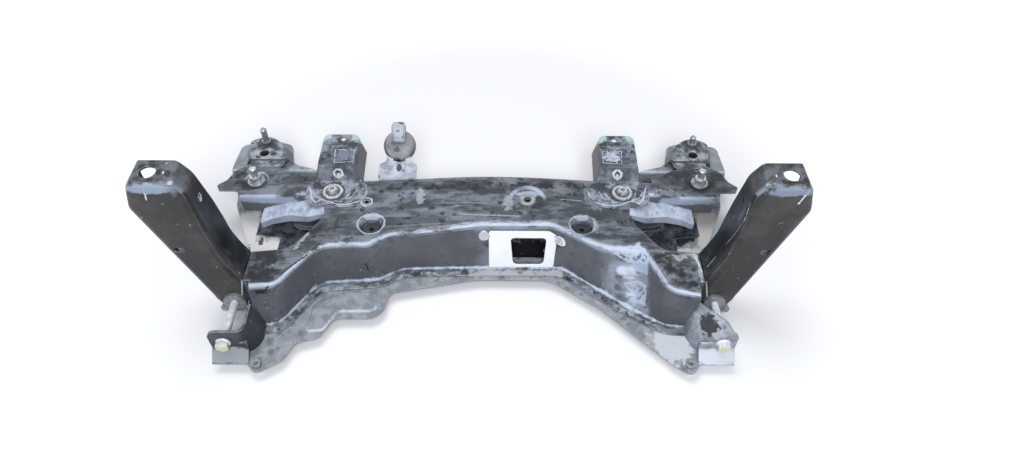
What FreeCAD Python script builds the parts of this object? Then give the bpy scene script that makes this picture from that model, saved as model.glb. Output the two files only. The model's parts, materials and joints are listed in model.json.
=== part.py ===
import FreeCAD, Part
import math
import os

# Front subframe of a small car: two welded pressings form a cross beam with a horn, a wishbone
# pocket and a body mount at each end.
# The origin is on the ground, on the car's middle plane, under the middle of the beam.
# X points to the car's left side as seen from the front, Y to the rear and Z up.

# Sheet thicknesses
upper_sheet = 2.5
lower_sheet = 2.5
horn_sheet = 3.0
bracket_sheet = 4.0
thin_sheet = 2.0
plate_sheet = 1.2

# Levels above the ground
pan_depth = 18.0
seam_level = pan_depth + lower_sheet
beam_top = 102.0
wing_level = 88.0
step_level = 72.0
corner_level = 95.0
crown_radius = 10.0
crown_steps = 4

# Cross beam in plan
end_x = 345.0
notch_x = 354.0
front_y = -172.0
notch_y = -144.0
end_rear_y = -82.0
rear_y = 74.0
rear_bow = 5.0
rear_draft = 8.0
rear_flange = 14.0
front_flange = 17.0
pocket_flange = 8.0

# Dimples with holes and the drain holes of the beam
dimple_x = 173.0
dimple_y = -29.0
dimple_radius = 19.0
dimple_depth = 11.0
dimple_hole = 4.5
small_hole_x = 186.0
small_hole_y = 22.0
small_hole = 3.5

# Torque rod window and bolt
window_x = 85.5
window_top_width = 60.0
window_low_width = 51.0
window_low = 29.0
window_high = 76.0
plate_ear_radius = 8.5
rod_x = 84.0
rod_y = 24.0
rod_dish_radius = 33.0
rod_dish_depth = 3.0
rod_collar_radius = 13.5
rod_collar_height = 8.0
rod_bore = 6.25
rod_hole = 8.0
rod_thread = 5.25

# Horns
horn_front_y = -144.0
horn_depth = 66.0
horn_top_depth = 46.0
horn_top = 310.0
horn_foot_level = 98.0
horn_waist = 0.45
horn_shoulder = 0.68
horn_hole_x = 434.0
horn_hole_y = -121.0
horn_hole = 11.5
horn_edge = 7.0
slot_x = 429.0
slot_z = 174.0
slot_length = 15.0
slot_width = 9.0
side_hole = 4.5
side_hole_drops = [60.0, 102.0, 117.0]

# Front pockets, with their bolts along Y
bolt_x = 378.5
bolt_z = 52.0
ear_y = -220.0
ear_x = 399.0
pocket_top_x = 342.0
pocket_root_x = 330.0
pocket_root_fold = 28.0
pocket_top_fold = 9.0
fold_margin = 1.0
ear_top = 80.0
ear_low = 39.0
foot_y = -243.0
foot_low = seam_level
foot_fold = 3.0
front_bolt = 6.0
bolt_clearance = 0.5
thread_gap = 0.1
collar_radius = 17.5
collar_length = 20.0
collar_stand = 6.0

# Rear bolts along Z through the wings
rear_bolt_x = 387.5
rear_bolt_y = 85.0
rear_bolt = 6.0
washer_radius = 15.0
washer_height = 2.5
nut_flats = 18.0
weld_nut_flats = 16.0
nut_height = 11.0
bolt_head_height = 8.0
bolt_flange_radius = 11.5
bolt_flange_height = 2.0
rear_bolt_tip = 118.0
recess_radius = 22.0
recess_depth = 2.0
gusset_level = 60.0
front_bolt_tip = -108.0

# Corner body mounts
mount_x = 385.0
mount_y = 147.0
mount_hole = 8.5
sleeve_radius = 12.0
sleeve_bore = 7.0
stud_x = 388.0
stud_y = 179.0
stud_radius = 5.5
stud_heights = {"left": 30.0, "right": 17.0}

# Rack brackets and bolts
rack_x = 245.0
rack_y = 42.0
rack_bolt = 5.0
rack_ring_radius = 18.0
rack_ring_height = 3.0
rack_head_radius = 11.5
rack_head_height = 6.0
rack_sleeve_radius = 11.0
rack_rear_y = 162.0
rack_rise_y = 60.0
rack_top = 127.0
rack_low = 92.0
rack_hole_x = 239.0
rack_hole_y = 150.0
rack_hole = 4.5

# Undertray lugs and weld nuts
lug_x = 331.0
lug_y = -244.0
lug_radius = 13.0
lug_bore = 5.0
small_nut_flats = 13.0
small_nut_height = 6.5
small_thread = 4.0
rack_nut_flats = 17.0
rack_nut_height = 8.0
rod_nut_flats = 21.0
drain_x = 120.0
drain_hole = 6.0

# Exhaust hanger
hanger_x = -139.0
hanger_y = 138.0
hanger_z = 122.0
rubber_radius = 28.0
rubber_length = 26.0
hanger_tilt = 40.0
hanger_low = 60.0

SIDES = {"left": -1.0, "right": 1.0}
NODES = {}


def point(x, y, z):
    """A point or direction in space."""
    return FreeCAD.Vector(x, y, z)


def flat(z):
    """Places a plan outline at height z."""
    return lambda u, v: point(u, v, z)


def across(y):
    """Places an outline drawn in X and Z at the depth y."""
    return lambda u, v: point(u, y, v)


def along(x):
    """Places an outline drawn in Y and Z at the station x."""
    return lambda u, v: point(x, u, v)


def outline(corners, place):
    """Closed wire of straight runs joined by tangent arcs; a corner is (u, v, radius)."""
    starts, mids, ends = [], [], []
    count = len(corners)
    for i, (u, v, radius) in enumerate(corners):
        here = point(u, v, 0)
        before = point(*corners[i - 1][:2], 0) - here
        after = point(*corners[(i + 1) % count][:2], 0) - here
        before.normalize()
        after.normalize()
        opening = before.getAngle(after)
        if radius <= 0 or opening > math.pi - 1e-4:
            starts.append(here)
            mids.append(None)
            ends.append(here)
            continue
        run = radius / math.tan(opening / 2)
        middle = before + after
        middle.normalize()
        starts.append(here + before * run)
        mids.append(here + middle * (radius / math.sin(opening / 2) - radius))
        ends.append(here + after * run)
    edges = []
    for i in range(count):
        if mids[i] is not None:
            arc = [place(p.x, p.y) for p in (starts[i], mids[i], ends[i])]
            edges.append(Part.Arc(*arc).toShape())
        a, b = ends[i], starts[(i + 1) % count]
        if (b - a).Length > 1e-6:
            edges.append(Part.LineSegment(place(a.x, a.y), place(b.x, b.y)).toShape())
    return Part.Wire(edges)


def inset(corners, distance):
    """Moves each side of an anticlockwise outline inwards by its distance, or all by one."""
    count = len(corners)
    steps = distance if isinstance(distance, list) else [distance] * count
    moved = []
    for i, (u, v, radius) in enumerate(corners):
        d1, d2 = steps[i - 1], steps[i]
        a = point(u - corners[i - 1][0], v - corners[i - 1][1], 0)
        b = point(corners[(i + 1) % count][0] - u, corners[(i + 1) % count][1] - v, 0)
        a.normalize()
        b.normalize()
        turn = a.x * b.y - a.y * b.x
        if abs(turn) < 1e-3:
            x, y = u - a.y * d1, v + a.x * d1
        else:
            # Both moved sides hold the new corner, which gives two equations in x and y.
            x = u + (d1 * b.x - d2 * a.x) / turn
            y = v + (d1 * b.y - d2 * a.y) / turn
        step = min(d1, d2, key=abs)
        new_radius = radius - step if turn > 0 else radius + step
        moved.append((x, y, max(new_radius, 0.5) if radius > 0 else 0))
    return moved


def slab(corners, low, high):
    """Prism of a plan outline between two heights."""
    return Part.Face(outline(corners, flat(low))).extrude(point(0, 0, high - low))


def cross_slab(corners, near, far):
    """Prism of an outline in X and Z between two depths."""
    return Part.Face(outline(corners, across(near))).extrude(point(0, far - near, 0))


def long_slab(corners, near, far):
    """Prism of an outline in Y and Z between two stations along X."""
    return Part.Face(outline(corners, along(near))).extrude(point(far - near, 0, 0))


def box(x0, y0, z0, x1, y1, z1):
    """Box between two opposite corners."""
    return Part.makeBox(x1 - x0, y1 - y0, z1 - z0, point(x0, y0, z0))


def rod(radius, base, axis, length):
    """Cylinder from a base point along an axis."""
    return Part.makeCylinder(radius, length, base, axis)


def drafted(low_corners, low, high_corners, high):
    """Solid between two outlines of as many sides, one above the other."""
    wires = [outline(low_corners, flat(low)), outline(high_corners, flat(high))]
    return Part.makeLoft(wires, True, True)


def between(low_corners, high_corners, share):
    """Outline part of the way from one to another of as many corners."""
    mix = []
    for low, high in zip(low_corners, high_corners):
        mix.append(tuple(a + (b - a) * share for a, b in zip(low, high)))
    return mix


def strip(path, thickness, bend):
    """Section of a bent sheet to the right of a path, with one inner radius or one a corner."""
    count = len(path)
    bends = bend if isinstance(bend, list) else [bend] * count
    inner = []
    outer = []
    for i, (u, v) in enumerate(path):
        here = point(u, v, 0)
        a = here - point(*path[i - 1], 0) if i else None
        b = point(*path[i + 1], 0) - here if i < count - 1 else None
        a = a or b
        b = b or a
        a.normalize()
        b.normalize()
        normal = point(a.y + b.y, -a.x - b.x, 0)
        normal = normal * (2 / normal.dot(normal)) if normal.Length else normal
        turn = a.x * b.y - a.y * b.x
        ends = i in (0, count - 1)
        near, far = bends[i], bends[i] + thickness
        outer.append((u, v, 0 if ends else (far if turn < 0 else near)))
        shift = here + normal * thickness
        inner.append((shift.x, shift.y, 0 if ends else (near if turn < 0 else far)))
    return outer + inner[::-1]


def hexagon(flats, centre, axis, height):
    """Hexagonal prism of a given width across flats."""
    around = [math.radians(60 * i + 30) for i in range(7)]
    reach = flats / math.sqrt(3)
    corners = [point(reach * math.cos(a), reach * math.sin(a), 0) for a in around]
    prism = Part.Face(Part.makePolygon(corners)).extrude(point(0, 0, height))
    # The ends are turned to a shallow cone, as on a rolled nut.
    cone = Part.makeCone(reach * 1.32, reach * 0.9, reach * 0.42, point(0, 0, height - reach * 0.3))
    keep = rod(reach * 1.1, point(0, 0, 0), point(0, 0, 1), height - reach * 0.3).fuse(cone)
    prism = prism.common(keep)
    prism.Placement = FreeCAD.Placement(centre, FreeCAD.Rotation(point(0, 0, 1), axis))
    return prism


def mirrored(shape, sign):
    """The shape as modelled for the +X side, or its mirror image."""
    return shape if sign > 0 else shape.mirror(point(0, 0, 0), point(1, 0, 0))


def keep(name, shape):
    """Stores a finished node."""
    NODES[name] = shape


def both_sides(name, shape):
    """Stores a piece that the object has once at each side."""
    for side, sign in SIDES.items():
        keep(f"{side}_{name}", mirrored(shape, sign))


def flip(corners):
    """Mirror image of an outline in plan, kept anticlockwise."""
    return [(-u, v, r) for u, v, r in reversed(corners)]


# Plan of the beam. Each line of corners runs from the left end to the right end, or up one side.
FRONT_TOP = [
    (-end_x, -154, 0), (-303, -152, 30), (-248, -71, 45), (-175, -72, 30), (-143, -51, 40),
    (8, -24, 100), (118, -24, 30), (200, -73, 60), (268, -75, 20), (296, -159, 30),
    (end_x, front_y, 0),
]
FRONT_ROOT = [
    (-end_x, front_y, 0), (-312, -170, 30), (-262, -88, 45), (-165, -81, 40), (-125, -58, 60),
    (14, -55, 200), (143, -55, 50), (204, -103, 150), (256, -142, 80), (302, -171, 50),
    (end_x, front_y - 2, 0),
]
END = [(end_x, notch_y, 0), (notch_x, notch_y, 0), (notch_x, end_rear_y, 0)]
BITE_TOP = [(300, -76, 30), (252, -6, 40), (275, 38, 25), (318, 42, 14), (318, rear_y, 14)]
BITE_ROOT = [(303, -74, 30), (257, -5, 40), (278, 34, 25), (322, 38, 14),
             (322, rear_y + rear_draft, 14)]


def beam_plan(front, bite, rear):
    """Closed plan of the beam from its front line, one side and its bowed rear."""
    right = END + bite
    return front + right + [(0, rear + rear_bow, 2000)] + flip(right)


def edge_widths(front, end, bite, rear):
    """One distance for each side of the beam's plan, in the order of its corners."""
    fronts = [front] * (len(FRONT_TOP) - 1)
    ends = [end] * len(END)
    bites = [bite] * len(BITE_TOP)
    return fronts + ends + bites + [rear] * 2 + bites + ends


def beam_body(margin):
    """The beam as one block, drawn in by a margin all over, with its top edge rolled over."""
    top = beam_plan(FRONT_TOP, BITE_TOP, rear_y)
    root = beam_plan(FRONT_ROOT, BITE_ROOT, rear_y + rear_draft)
    radius = crown_radius - margin
    wires = [outline(inset(root, margin), flat(seam_level))]
    for step in range(crown_steps + 1):
        angle = math.pi / 2 * step / crown_steps
        level = beam_top - margin - radius * (1 - math.sin(angle))
        share = (level - seam_level) / (beam_top - seam_level)
        rolled = margin + radius * (1 - math.cos(angle))
        distances = edge_widths(rolled, margin, rolled, rolled)
        wires.append(outline(inset(between(root, top, share), distances), flat(level)))
    block = Part.makeLoft(wires, True, True)
    for side in SIDES.values():
        centre = point(side * dimple_x, dimple_y, beam_top - dimple_depth - margin)
        tool = Part.makeCone(dimple_radius - 5 + margin, dimple_radius + margin,
                             dimple_depth + margin, centre)
        block = block.cut(tool)
    dish = Part.makeCone(rod_dish_radius - 5 + margin, rod_dish_radius + margin,
                         rod_dish_depth + margin,
                         point(rod_x, rod_y, beam_top - rod_dish_depth - margin))
    return block.cut(dish)


def window_corners():
    """Outline of the torque rod window, in X and Z."""
    top, low = window_top_width / 2, window_low_width / 2
    return [(window_x - low, window_low, 8), (window_x + low, window_low, 8),
            (window_x + top, window_high, 6), (window_x - top, window_high, 6)]


def wing_sheet():
    """Right wing: a sheet that steps down from the beam to the wishbone's rear bush."""
    fold = 6.0
    section = strip([(300, beam_top), (309, beam_top), (347, wing_level), (470, wing_level)],
                    upper_sheet, fold)
    sheet = cross_slab(section, 0, 200)
    plan = [(290, 42, 0), (318, 46, 0), (409, 46, 4), (416, 60, 8), (447, 60, 4), (453, 73, 5),
            (438, 86, 15), (430, 108, 20), (416, 120, 12), (400, 129, 30), (371, 128, 35),
            (344, 113, 30), (322, 93, 20), (300, 84, 8), (290, 80, 0)]
    sheet = sheet.common(slab(plan, 0, 200))
    lip_low = wing_level - 36
    lip = strip([(60, wing_level), (46, wing_level), (46, lip_low)][::-1], upper_sheet, fold)
    lip = long_slab(lip, 347, 409)
    sheet = sheet.cut(box(347, 40, 0, 410, 60, 200)).fuse(lip)
    slope = [(300, lip_low, 0), (347, lip_low, 0), (347, wing_level, 0), (309, beam_top, 0),
             (300, beam_top, 0)]
    sheet = sheet.fuse(cross_slab(slope, 46, 46 + upper_sheet))
    floor = point(rear_bolt_x, rear_bolt_y, wing_level - recess_depth)
    recess = Part.makeCone(recess_radius - 3, recess_radius, recess_depth, floor)
    below = Part.makeCone(recess_radius - 1.5, recess_radius + 1.5, recess_depth,
                          floor - point(0, 0, upper_sheet))
    pad = below.common(slab(plan, 0, 200))
    sheet = sheet.fuse(pad).cut(recess)
    hole = rod(rear_bolt + bolt_clearance, point(rear_bolt_x, rear_bolt_y, 0), point(0, 0, 1), 200)
    return sheet.cut(hole)


def upper_flange():
    """Plan of the welding flange around the upper pressing's root."""
    root = beam_plan(FRONT_ROOT, BITE_ROOT, rear_y + rear_draft)
    return inset(root, edge_widths(-front_flange, 0, -pocket_flange, -rear_flange))


def upper_shell():
    """Deep pressing: top, walls, welding flange, wings, dimples and the window."""
    cavity = beam_body(upper_sheet)
    shell = BEAM.fuse(slab(upper_flange(), seam_level, seam_level + upper_sheet))
    wing = wing_sheet()
    shell = shell.fuse([wing, mirrored(wing, -1)])
    shell = shell.cut(cavity)
    tools = [cross_slab(window_corners(), -80, 0)]
    for side in SIDES.values():
        tools.append(rod(dimple_hole, point(side * dimple_x, dimple_y, 60), point(0, 0, 1), 60))
        tools.append(rod(rack_bolt + bolt_clearance, point(side * rack_x, rack_y, 60),
                         point(0, 0, 1), 60))
    tools.append(rod(small_hole, point(-small_hole_x, small_hole_y, 60), point(0, 0, 1), 60))
    tools.append(rod(rod_hole, point(rod_x, rod_y, 60), point(0, 0, 1), 60))
    return shell.cut(tools).removeSplitter()


def lower_plan():
    """Plan of the lower pressing; its front edge differs from side to side."""
    side = [(352, -236, 6), (352, notch_y + 2, 4), (414, notch_y + 2, 8), (414, -62, 12),
            (386, -30, 20), (401, -3, 40), (440, 87, 40), (445, 125, 30), (440, 191, 14),
            (386, 207, 60), (347, 193, 18), (336, 142, 20), (283, 126, 25), (264, 98, 25)]
    front = [(-lug_x - 1, -259, 11), (-296, -237, 15), (-281, -204, 20),
             (-246, -195, 15), (-228, -158, 20), (-152, -158, 28), (-145, -108, 18),
             (0, -79, 150), (122, -80, 60), (205, -140, 150), (306, -243, 12), (lug_x + 2, -262, 11)]
    return front + side + flip(side)


def embossed(sheet, corners, low, height, draft):
    """Pushes a panel of a flat sheet up, or down if the height is negative."""
    slope = draft / abs(height)
    mouth = lower_sheet * (math.hypot(1, slope) - slope)
    crest, opening = inset(corners, draft), inset(corners, mouth)
    end = inset(corners, mouth + draft)
    if height > 0:
        bump = drafted(corners, low + lower_sheet, crest, low + lower_sheet + height)
        hollow = drafted(opening, low, end, low + height)
    else:
        bump = drafted(crest, low + height, corners, low)
        hollow = drafted(end, low + height + lower_sheet, opening, low + lower_sheet)
    return sheet.fuse(bump).cut(hollow)


def lower_shell():
    """Shallow pressing: flange, stiffening pan, raised rear corners and undertray lugs."""
    fold = 6.0
    rise = [(-270, seam_level), (mount_y - 35, seam_level), (mount_y - 19, step_level),
            (220, step_level)]
    sheet = long_slab(strip(rise, lower_sheet, fold), -460, 460)
    shell = sheet.common(slab(lower_plan(), -10, 150))
    pan = [(-320, -150, 14), (-288, -147, 25), (-240, -66, 45), (-160, -62, 35), (-112, -36, 50),
           (30, -32, 100), (140, -33, 45), (205, -80, 80), (262, -128, 60), (320, -150, 14),
           (320, -100, 14), (285, -88, 40), (222, -20, 50), (208, 58, 20), (-208, 58, 20),
           (-222, -20, 50), (-285, -88, 40), (-320, -100, 14)]
    shell = embossed(shell, pan, pan_depth, -pan_depth, 7)
    pad = [(-272, -186, 10), (-240, -182, 10), (-222, -146, 10), (-160, -146, 12),
           (-160, -108, 10), (-215, -104, 10), (-262, -128, 14)]
    shell = embossed(shell, pad, pan_depth, 3.0, 3)
    bay = [(312, -62, 8), (330, -58, 10), (342, -44, 8), (342, 12, 6), (382, 21, 5), (380, 38, 8),
           (336, 40, 6), (332, 28, 6), (290, 26, 8), (268, -4, 15)]
    tools = [rod(rod_hole, point(rod_x, rod_y, -1), point(0, 0, 1), 30)]
    for side in SIDES.values():
        tools.append(mirrored(slab(bay, -1, seam_level + 1), side))
        tools.append(rod(rear_bolt + bolt_clearance, point(side * rear_bolt_x, rear_bolt_y, 0),
                         point(0, 0, 1), 40))
        tools.append(rod(mount_hole, point(side * mount_x, mount_y, 60), point(0, 0, 1), 20))
        tools.append(rod(rack_bolt + bolt_clearance, point(side * rack_x, rack_y, 0),
                         point(0, 0, 1), 40))
        tools.append(rod(lug_bore, point(side * lug_x, lug_y, 0), point(0, 0, 1), 40))
        tools.append(rod(drain_hole, point(side * drain_x, 0, -1), point(0, 0, 1), 30))
    return shell.cut(tools).removeSplitter()


def horn_level(share):
    """Height of a point on the horn, as a share of the way from its foot to its top."""
    return seam_level + share * (horn_top - seam_level)


def horn_face(front, margin):
    """Outline of the horn in X and Z, at its front web or at its open rear."""
    waist, shoulder = horn_level(horn_waist), horn_level(horn_shoulder)
    elbow, brow = horn_top - 48, horn_top - 12
    inner = [(notch_x, horn_foot_level, 25), (notch_x, seam_level)]
    if front:
        outer = [(404, seam_level), (412, 60, 60), (458, shoulder, 80), (471, elbow, 25),
                 (462, brow, 12)]
        crest = [(455, horn_top, 6), (398, horn_top, 10), (384, horn_top - 22, 30)]
        inner = [(381, shoulder, 150), (373, waist, 110)] + inner
    else:
        outer = [(404, seam_level), (409, 60, 60), (450, shoulder, 80), (462, elbow, 25),
                 (458, brow, 12)]
        crest = [(455, horn_top, 6), (402, horn_top, 10), (387, horn_top - 24, 30)]
        inner = [(385, shoulder, 150), (376, waist, 110)] + inner
    corners = [(*c, 0) if len(c) < 3 else c for c in outer + crest + inner]
    count = len(corners)
    margins = [margin] * count
    margins[count - 1] = 0
    return inset(corners, margins)


def horn_block(margin):
    """The horn as a block between its front web and the plane of its rear edges."""
    near = horn_front_y + margin
    far = horn_front_y + horn_depth
    front = horn_face(True, margin)
    rear = horn_face(False, margin)
    ease = horn_edge - margin
    small = inset(front, [ease] * (len(front) - 1) + [0])
    middle = inset(front, [ease * 0.3] * (len(front) - 1) + [0])
    wires = [outline(small, across(near)), outline(middle, across(near + ease * 0.3)),
             outline(front, across(near + ease)), outline(rear, across(far))]
    return Part.makeLoft(wires, True, True)


def horn(small_holes):
    """Deep-drawn channel, open to the rear, that carries the body mount above the pocket."""
    shell = horn_block(0).cut(horn_block(horn_sheet))
    y = horn_front_y
    widest = y + horn_depth - 2
    side_view = [(y - 5, seam_level, 0), (widest - 14, seam_level, 0), (widest - 6, 70, 40),
                 (widest - 6, 125, 60), (widest, horn_top - 140, 100), (widest, horn_top - 94, 60),
                 (y + horn_top_depth + 1, horn_top - 26, 60), (y + horn_top_depth, horn_top + 5, 0),
                 (y - 5, horn_top + 5, 0)]
    shell = shell.common(long_slab(side_view, notch_x - 10, 480))
    mouth = [(notch_x - 8, 10, 0), (420, 10, 0), (420, 66, 0), (399, 40, 12), (notch_x - 8, 32, 0)]
    shell = shell.cut(cross_slab(mouth, y - 5, y + horn_sheet + horn_edge))
    half = (slot_length - slot_width) / 2
    slot = [(slot_x - half - slot_width / 2, slot_z - slot_width / 2, slot_width / 2 - 0.01),
            (slot_x + half + slot_width / 2, slot_z - slot_width / 2, slot_width / 2 - 0.01),
            (slot_x + half + slot_width / 2, slot_z + slot_width / 2, slot_width / 2 - 0.01),
            (slot_x - half - slot_width / 2, slot_z + slot_width / 2, slot_width / 2 - 0.01)]
    tools = [cross_slab(slot, y - 5, y + 12),
             rod(horn_hole, point(horn_hole_x, horn_hole_y, horn_top - 20), point(0, 0, 1), 40),
             rod(front_bolt + bolt_clearance, point(bolt_x, y - 5, bolt_z), point(0, 1, 0), 20),
             rod(side_hole, point(end_x, y + 34, horn_top - side_hole_drops[0]),
                 point(1, 0, 0), 78)]
    if small_holes:
        for step, drop in enumerate(side_hole_drops[1:], 1):
            tools.append(rod(side_hole - 1 - step / 2, point(end_x, y + 30 + 10 * step, horn_top - drop),
                             point(1, 0, 0), 63))
    return shell.cut(tools).removeSplitter()


def pocket_wall(crumpled):
    """Web and ear of a front bracket, whose web leans and turns into the ear."""
    front, back = ear_y - bracket_sheet, front_y + 6
    if crumpled:
        # A knock has bent the web outwards, most at its top edge.
        folds = [0, 5, 8, 8, 0]
        lines = [(seam_level, [(358, front), (340, -213), (331, -192), (330.5, back)]),
                 (60.0, [(366, front), (355, -204), (342, -182), (338, back)]),
                 (ear_top, [(389, front), (379, -203), (358, -183), (pocket_top_x, back)])]
        lines = [(level, line, folds) for level, line in lines]
    else:
        lines = [(seam_level, [(pocket_root_x, front), (pocket_root_x, back)], [0, pocket_root_fold, 0]),
                 (ear_top, [(pocket_top_x, front), (pocket_top_x, back)], [0, pocket_top_fold, 0])]
    wires = []
    fold_line = []
    for level, line, folds in lines:
        section = strip([(ear_x, front)] + line, bracket_sheet, folds)
        wires.append(outline(section, flat(level)))
        corner, after = line[0], line[1]
        turn = math.atan2(after[1] - corner[1], corner[0] - after[0])
        fold_run = (folds[1] + bracket_sheet) * math.tan(turn / 2)
        fold_line.append((corner[0] + fold_run + fold_margin, level, 0))
    # Outside the line where its fold starts, the ear is a flat plate.
    ear = [(ear_x, seam_level, 0), (ear_x, ear_top, 0)] + fold_line[::-1]
    web = Part.makeLoft(wires, True, True).cut(cross_slab(ear, front - 5, ear_y + 5))
    return web.fuse(cross_slab(ear, front, ear_y))


def front_bracket(crumpled):
    """Folded plate: a leaning web on the beam's end, an ear for the bolt and a foot."""
    front = ear_y - bracket_sheet
    inner_x = pocket_root_x - 5
    view = [(inner_x, 0, 0), (ear_x, 0, 0), (ear_x, ear_low + 6, 0), (ear_x, ear_top, 16),
            (inner_x, ear_top + 1, 0)]
    wall = pocket_wall(crumpled).common(cross_slab(view, front - 10, notch_y))
    foot_x = pocket_root_x + pocket_root_fold
    wall = wall.cut(box(foot_x, front - 5, 0, ear_x, ear_y + 5, ear_low - bracket_sheet))
    lean = [(foot_y, foot_low), (front, ear_low), (front, ear_low + 12)]
    foot = long_slab(strip(lean, bracket_sheet, foot_fold), foot_x - 14, ear_x)
    foot = foot.cut(box(0, foot_y, 0, ear_x, ear_y + 10, seam_level))
    hole = rod(front_bolt + bolt_clearance, point(bolt_x, ear_y - 20, bolt_z), point(0, 1, 0), 40)
    flange = slab(upper_flange(), seam_level, seam_level + upper_sheet)
    shell = wall.fuse(foot).cut([hole, BEAM, flange]).removeSplitter()
    return max(shell.Solids, key=lambda solid: solid.Volume)


def horn_collar():
    """Welded collar through the horn's foot, which the front bolt passes."""
    start = point(bolt_x, horn_front_y - collar_stand, bolt_z)
    ring = rod(collar_radius, start, point(0, 1, 0), collar_stand)
    return ring.cut(rod(front_bolt + bolt_clearance, start, point(0, 1, 0), collar_stand))


def flanged_bolt(radius, length, flats):
    """Flanged hexagon bolt standing on its head, with its shank up from z = 0."""
    up = point(0, 0, 1)
    head = hexagon(flats, point(0, 0, -bolt_flange_height), point(0, 0, -1), bolt_head_height)
    flange = Part.makeCone(bolt_flange_radius, bolt_flange_radius - 1.5, bolt_flange_height,
                           point(0, 0, 0), point(0, 0, -1))
    shank = rod(radius, point(0, 0, 0), up, length - 1.5)
    tip = Part.makeCone(radius, radius - 1.5, 1.5, point(0, 0, length - 1.5), up)
    return head.fuse([flange, shank, tip]).removeSplitter()


def placed(shape, base, axis):
    """The shape with its own origin and Z moved to a base point and an axis."""
    shape = shape.copy()
    shape.Placement = FreeCAD.Placement(base, FreeCAD.Rotation(point(0, 0, 1), axis))
    return shape


def nut(radius, flats, height, base, axis):
    """Hexagon nut from its seat upwards."""
    return hexagon(flats, base, axis, height).cut(rod(radius + thread_gap, base, axis, height))


def corner_bracket():
    """Raised pressing over the corner's body mount, with a lip on the wing."""
    top = [(343, 132, 6), (410, 132, 6), (417, 178, 14), (386, 196, 30), (352, 168, 16)]
    base = inset(top, [0, -9, -7, -7, -9])
    outer = drafted(base, step_level, top, corner_level)
    inner = drafted(inset(base, thin_sheet), step_level, inset(top, thin_sheet),
                    corner_level - thin_sheet)
    shell = outer.cut(inner)
    shell = shell.cut(box(300, 120, 0, 460, 140, wing_level))
    lip = [(348, 118, 8), (404, 118, 8), (407, 136, 0), (346, 136, 0)]
    lip = slab(lip, wing_level, wing_level + thin_sheet)
    hole = rod(mount_hole, point(mount_x, mount_y, 60), point(0, 0, 1), 60)
    return shell.fuse(lip).cut(inner).cut(hole).removeSplitter()


def mount_sleeve():
    """Tube that carries the body bolt's load between the raised corner and its bracket."""
    base = point(mount_x, mount_y, step_level)
    height = corner_level - thin_sheet - step_level
    return rod(sleeve_radius, base, point(0, 0, 1), height).cut(
        rod(sleeve_bore, base, point(0, 0, 1), height))


def locating_stud(height):
    """Short round stud with a chamfered end on the corner bracket."""
    up = point(0, 0, 1)
    base = point(stud_x, stud_y, corner_level)
    collar = rod(stud_radius + 3, base, up, 2)
    body = rod(stud_radius, base, up, height - 3)
    tip = Part.makeCone(stud_radius, stud_radius - 2.5, 3, base + up * (height - 3), up)
    return collar.fuse([body, tip]).removeSplitter()


def bush_gusset():
    """Shelf that slopes from the beam's edge to the rear bush, folded down at its free edges."""
    inner_x, outer_x, back = 244.0, 372.0, 46.0
    plan = [(inner_x, -6, 0), (282, -3, 40), (320, 13, 30), (352, 15, 20), (outer_x, 8, 5),
            (outer_x, back, 4), (inner_x, back, 0)]
    slope = [(inner_x, beam_top), (258, beam_top - 2), (outer_x - 10, gusset_level + 3),
             (outer_x, gusset_level)]
    shelf = cross_slab(strip(slope, upper_sheet, 10), -20, back).common(slab(plan, 0, 200))
    rim = slab(plan, 0, 200).cut(slab(inset(plan, [upper_sheet] * 5 + [-1, -1]), -1, 201))
    view = [(outer_x, gusset_level - 12, 0), (outer_x, gusset_level - 1, 0),
            (outer_x - 10, gusset_level + 2, 10), (258, beam_top - 3, 10), (inner_x, beam_top - 1, 0),
            (inner_x, beam_top - 4, 0), (282, 78, 20), (320, 62, 20), (350, 53, 20)]
    rim = rim.common(cross_slab(view, -20, back))
    shell = shelf.fuse(rim).cut(BEAM).removeSplitter()
    return max(shell.Solids, key=lambda solid: solid.Volume)


def rack_bracket():
    """Hat-shaped pressing on the beam's top that reaches out behind it."""
    top = [(212, 82, 8), (274, 82, 8), (274, rack_rear_y, 12), (212, rack_rear_y, 12)]
    base = [(199, rack_rise_y, 10), (282, rack_rise_y, 10), (281, rack_rear_y, 12),
            (203, rack_rear_y, 12)]
    outer = drafted(base, rack_low, top, rack_top)
    inner = drafted(inset(base, [thin_sheet, thin_sheet, -9, thin_sheet]), rack_low,
                    inset(top, [thin_sheet, thin_sheet, -9, thin_sheet]), rack_top - thin_sheet)
    plate = [(205, 11, 8), (229, 7, 10), (248, 16, 14), (268, 8, 10), (290, 22, 12), (290, 64, 14),
             (276, 70, 4), (205, 70, 4), (190, 62, 12), (186, 38, 12), (196, 24, 10)]
    flange = slab(plate, beam_top, beam_top + thin_sheet)
    shell = outer.fuse(flange).cut(inner)
    shell = shell.cut(box(150, -20, rack_low - 5, 330, rear_y + 4, beam_top))
    pad = [(222, 96, 5), (262, 96, 5), (262, 136, 5), (222, 136, 5)]
    shell = shell.fuse(drafted(pad, rack_top, inset(pad, 2), rack_top + 2.5))
    well = inset(pad, 6)
    shell = shell.cut(drafted(inset(well, 1), rack_top + 1.0, well, rack_top + 2.6))
    up = point(0, 0, 1)
    tools = [rod(rack_hole, point(rack_hole_x, rack_hole_y, 80), up, 80),
             rod(rack_hole - 1, point(rack_hole_x, 74, 80), up, 80),
             rod(rack_bolt + bolt_clearance, point(rack_x, rack_y, 80), up, 80)]
    return shell.cut(tools).removeSplitter()


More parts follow.
